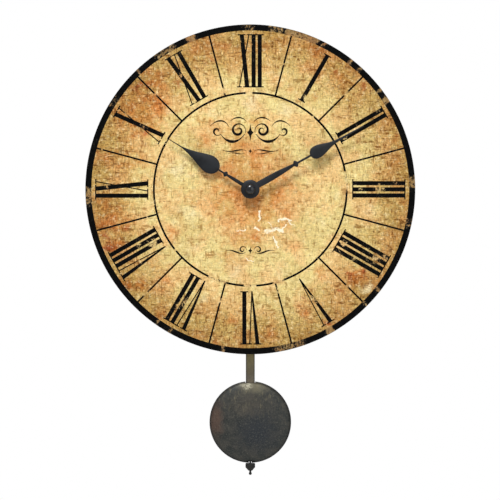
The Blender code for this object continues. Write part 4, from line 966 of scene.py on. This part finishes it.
def make_bob():
    """The pressed bob: a shallow dome with a rolled rim, slotted for the rod above and the stem below."""
    low, high = box_of("bob_shell")
    radius, peak, rear = high.x, low.y, high.y
    edge, sheet, roll, step = -11.6, 0.7, 1.1, 1.2
    crown = [((radius - roll) * math.sin(math.radians(5 * i)),
              edge - step + (peak - edge + step) * math.cos(math.radians(5 * i))) for i in range(19)]
    crown = [p for p in crown if p[1] < edge - step - 0.05]
    rim = arc((radius - roll, edge - 0.2), (roll, roll), -80, 10, 7)
    inside = [(radius - sheet, rear), (radius - sheet, edge)]
    inside += [(max(r - sheet * 0.8, 0), y + sheet) for r, y in reversed(crown)]
    shell = mesh_of("bob_dome", lathe(crown + rim + [(radius, rear)] + inside, 144, place=(0, BOB_Z)))
    slots, slot_front, slot_back = [], -13.4, -6
    for half, low_end, high_end in ((4.3, BOB_Z + 25, BOB_Z + 40), (1.25, BOB_Z - 40, BOB_Z - 25)):
        slots.append(mesh_of("slot", block((-half, slot_front, low_end), (half, slot_back, high_end))))
    boolean(shell, "DIFFERENCE", slots)
    shell.data.shade_smooth()
    shell.data.set_sharp_from_angle(angle=math.radians(32))
    dress(shell, "bob_metal", "bob", "bob_shell")
    refine("bob_back_plate", "bob_rear_plate", 0.2, "bob_metal", "bob")


def thread(root, crest, start, end, pitch, flank):
    """The roots and crests of a thread down a profile from start to end, in whole turns.

    The flank is how much of a turn lies between a turn's start and its root.
    """
    made = []
    for i in range(int((start - end) / pitch)):
        height = start - pitch * i
        made += [(root, height - pitch * flank), (crest, height - pitch * (flank + 0.5))]
    return made


def make_rod():
    """The flat rod with softened edges, and its threaded stem with a ball end."""
    refine("pendulum_rod", "rod_strip", 0.22, "rod_metal", "pendulum", 3)
    low, high = box_of("rod_stem")
    bottom, top, ball = low.z, high.z, 1.3
    thread_top, thread_low = BOB_Z - 27, bottom + 3.4
    profile = [(0, top), (STEM_RADIUS - 0.15, top), (STEM_RADIUS, top - 0.2), (STEM_RADIUS, thread_top)]
    profile += thread(STEM_RADIUS - 0.14, STEM_RADIUS, thread_top, thread_low, 0.4, 0.3)
    profile += [(STEM_RADIUS - 0.1, thread_low - 0.3)]
    profile += arc((0, bottom + ball), (ball, ball), 42, -90, 12)[:-1] + [(0, bottom)]
    stem = mesh_of("stem_threaded", lathe(profile, 40, "Z", (0, STEM_Y)))
    dress(stem, "bob_metal", "pendulum", "rod_stem")


def make_rating_nut():
    """A turned nut with a knurled grip over a cone, on the stem under the bob."""
    low, high = box_of("rating_nut")
    top, bottom, radius, bore = high.z, low.z, high.x, 1.15
    shoulder = bottom + 2.5
    profile = [(bore, top), (radius - 0.55, top), (radius - 0.12, top - 0.35), (radius, top - 0.7),
               (radius, shoulder + 0.5), (radius - 0.15, shoulder + 0.1), (radius - 0.6, shoulder - 0.3),
               (2, bottom + 0.35), (1.7, bottom), (bore, bottom)]
    nut = lathe(profile, 72, "Z", (0, STEM_Y), (radius - 0.2, 0.14, 3))
    dress(mesh_of("rating_nut_knurled", nut, 28), "bob_metal", "nut", "rating_nut")


# ---- the mounting hardware and the movement ----

def make_bush():
    """The threaded bush at the dial's centre."""
    low, high = box_of("centre_bush")
    front, back, bore, root, crest, collar = low.y, high.y, 2.62, 3.72, 4, -24.6
    profile = [(bore, back), (crest, back), (crest, collar)]
    profile += thread(root, crest, collar, front + 0.6, 0.75, 0.35)
    profile += [(root, front + 0.25), (root - 0.25, front), (bore, front)]
    dress(mesh_of("bush_threaded", lathe(profile, 72)), "brass", "clock", "centre_bush")


def rounded(centre, half_x, half_z, corner):
    """The outline of a rectangle with round corners, on the dial's plane."""
    made = []
    for i, (sx, sz) in enumerate(((1, 1), (-1, 1), (-1, -1), (1, -1))):
        middle = (centre[0] + sx * (half_x - corner), centre[1] + sz * (half_z - corner))
        made += arc(middle, (corner, corner), 90 * i, 90 * i + 90, 6)
    return made


def knob_centre():
    low, high = box_of("setting_knob")
    return (low.x + high.x) / 2, (low.z + high.z) / 2


def make_cover():
    """The back cover with moulded marks: turn arrows round the knob, polarity signs and a shallow panel."""
    cover = refined("back_cover", "case_cover", 0.3)
    knob, depth, clear = knob_centre(), 0.5, 0.6
    inner, outer, barb, tip = 6.6, 7.6, 1.7, 18
    middle, marks = (outer + inner) / 2, []
    for start in (25, 205):
        end = start + 95
        head = [(knob[0] + r * math.cos(math.radians(a)), knob[1] + r * math.sin(math.radians(a)))
                for r, a in ((middle + barb, end), (middle, end + tip), (middle - barb, end))]
        marks.append(arc(knob, (outer, outer), start, end, 16) + head
                     + arc(knob, (inner, inner), end, start, 16))
    arm, half, plus, minus, level = 2.1, 0.5, -20.5, 20.5, 8.6
    bar = [(-arm, -half), (arm, -half), (arm, half), (-arm, half)]
    cross = [(arm, half), (half, half), (half, arm), (-half, arm), (-half, half), (-arm, half),
             (-arm, -half), (-half, -half), (-half, -arm), (half, -arm), (half, -half), (arm, -half)]
    marks += [[(x + u, level + v) for u, v in sign] for x, sign in ((minus, bar), (plus, cross))]
    marks.append(rounded((0, -44), 19, 14, 2.5))
    marks += [arc((x, z), (1.6, 1.6), 0, 345, 23) for z in (5.5, -63) for x in (-24, 24)]
    boolean(cover, "DIFFERENCE", [mesh_of("mark", slab(outline, -depth, clear)) for outline in marks])
    level_normals(cover, 32)
    dress(cover, "case_plastic", "clock", "back_cover")


def make_knob():
    """The hand-setting knob: a ribbed grip, a ring groove and a cross slot in its face."""
    low, high = box_of("setting_knob")
    cx, cz = knob_centre()
    radius, front, back = (high.x - low.x) / 2, low.y, high.y
    profile = [(0, front), (radius - 0.6, front), (radius - 0.1, front + 0.4), (radius, front + 0.7),
               (radius, back - 0.6), (radius - 0.15, back - 0.2), (radius - 0.5, back), (3.6, back),
               (3.4, back - 0.35), (3, back - 0.35), (2.8, back), (0, back)]
    knob = mesh_of("knob_ribbed", lathe(profile, 96, "Y", (cx, cz), (radius - 0.2, 0.28, 4)), 28)
    bars = []
    for half_x, half_z in ((2, 0.45), (0.45, 2)):
        bar = block((cx - half_x, back - 0.7, cz - half_z), (cx + half_x, back + 0.5, cz + half_z))
        bars.append(mesh_of("slot", bar))
    boolean(knob, "DIFFERENCE", bars)
    knob.data.set_sharp_from_angle(angle=math.radians(28))
    dress(knob, "knob_plastic", "setting", "setting_knob")


def make_battery():
    """A plain AA cell: sleeve with rolled ends, steel caps and the positive nub."""
    low, high = box_of("battery")
    nub, end, radius = low.x, high.x, (high.z - low.z) / 2
    start = nub + 1.2
    sleeve = [(0, start + 0.35), (radius - 1.2, start + 0.35), (radius - 1, start), (radius - 0.4, start),
              (radius, start + 0.4), (radius, end - 0.5), (radius - 0.4, end - 0.1), (radius - 1, end - 0.1),
              (radius - 1.2, end - 0.35), (0, end - 0.35)]
    cap = [(0, nub), (2.3, nub), (2.6, nub + 0.25), (2.6, start + 0.2), (4.6, start + 0.25),
           (4.6, start + 0.34), (0, start + 0.34)]
    base = [(0, end - 0.34), (5.6, end - 0.34), (5.6, end - 0.2), (4.4, end), (0, end)]
    place = Matrix.Translation((0, (low.y + high.y) / 2 * MM, (low.z + high.z) / 2 * MM))
    for name, profile, slot in (("battery_body", sleeve, "battery_sleeve"), ("battery_top", cap, "steel"),
                                ("battery_base", base, "steel")):
        made = mesh_of(name, lathe(profile, 64, "Z"))
        made.data.transform(place @ Matrix.Rotation(math.pi / 2, 4, "Y"))
        dress(made, slot, "clock", "battery")


# ---- finishes on the CAD nodes that keep their shape ----

def node_slot(node):
    """The record slot whose name leads the node's imported material."""
    names = [m["slot"] for m in frame["record"]["materials"]]
    current = frame["nodes"][node].data.materials
    label = current[0].name if current and current[0] else ""
    found = [n for n in names if label.startswith(n)]
    return found[0] if found else names[0]


def dress_cad():
    """Every CAD node gets the finish of its record slot, for those that stay in view and those inside."""
    for node, made in frame["nodes"].items():
        slot = node_slot(node)
        for entry in made.material_slots:
            entry.material = FINISH[slot]
        if not made.material_slots:
            made.data.materials.append(FINISH[slot])


# ---- stage ----

def floor_look(graph):
    tone = graph.noise(graph.millimetres(), 60, 4, 0.6)
    return graph.mix(tone, srgb(226, 225, 222), srgb(236, 235, 232)), 0.7, None, 0


def add_light(name, place, size, power):
    """A square soft light aimed at the dial's centre."""
    data = bpy.data.lights.new(name, "AREA")
    data.size = size
    data.energy = power
    lamp = link(name, data)
    lamp.location = place
    lamp.rotation_euler = (Vector((0, 0, -0.05)) - Vector(place)).to_track_quat("-Z", "Y").to_euler()


def make_stage():
    """Camera straight on, a pale floor below, a soft key from above and an even pale world."""
    scene = bpy.context.scene
    scene.view_settings.view_transform = "Standard"
    data = bpy.data.cameras.new("camera")
    data.sensor_width = 36
    data.lens = data.sensor_width * CAMERA_DISTANCE / FRAME_WIDTH
    scene.camera = link("camera", data)
    scene.camera.location = (VIEW_CENTRE[0], PAPER_FRONT * MM - CAMERA_DISTANCE, VIEW_CENTRE[1])
    scene.camera.rotation_euler = (math.pi / 2, 0, 0)

    bm = bmesh.new()
    bmesh.ops.create_grid(bm, x_segments=24, y_segments=24, size=800)
    bmesh.ops.translate(bm, verts=bm.verts, vec=(0, 0, -400))
    floor = mesh_of("floor", bm)
    floor.data.materials.append(material("floor_pale", floor_look))
    add_light("key", (-0.28, -1.35, 1.45), 0.55, 32)
    add_light("fill", (0.9, -1.6, 0.2), 1.2, 5)
    add_light("rear", (0.3, 1.7, 0.9), 1.2, 14)

    world = bpy.data.worlds.new("studio")
    world.use_nodes = True
    scene.world = world
    graph = Graph(world.node_tree)
    seen = graph.node("ShaderNodeLightPath").outputs["Is Camera Ray"]
    back = next(n for n in world.node_tree.nodes if n.type == "BACKGROUND")
    graph.feed(back.inputs["Color"], graph.mix(seen, (0.40, 0.40, 0.41, 1), (1, 1, 1, 1)))


make_stage()
dress_cad()
make_board()
rim_ink = ink("rim_ink", -0.28, arcs_worn, RIM_WEAR, ground=(0.5, (112, 90, 68)))
ink_ring("rim_band", RIM_INNER, PAPER_RADIUS, rim_ink)
ring_ink = ink("ring_ink", -0.1, arcs_worn, RING_WEAR)
ink_ring("inner_ring", RING_RADIUS - RING_WIDTH / 2, RING_RADIUS + RING_WIDTH / 2, ring_ink)
make_lines(ink("line_ink", -0.06, spots, LINE_WEAR))
numeral_ink = ink("numeral_ink", -0.06, spots, NUMERAL_WEAR)
for numeral in NUMERALS:
    make_numeral(*numeral, numeral_ink)
make_scrollwork()
make_hands()
make_bob()
make_rod()
make_rating_nut()
refine("hex_nut", "hex_nut_chamfered", 0.3, "brass", "clock", 3)
refine("brass_washer", "washer_brass", 0.12, "brass", "clock")
refine("rubber_washer", "washer_rubber", 0.3, "black_rubber", "clock")
make_bush()
refine("movement_case", "case_shell", 0.5, "case_plastic", "clock")
make_cover()
refine("pendulum_leader", "leader_arm", 0.3, "gear_plastic", "pendulum")
make_knob()
make_battery()
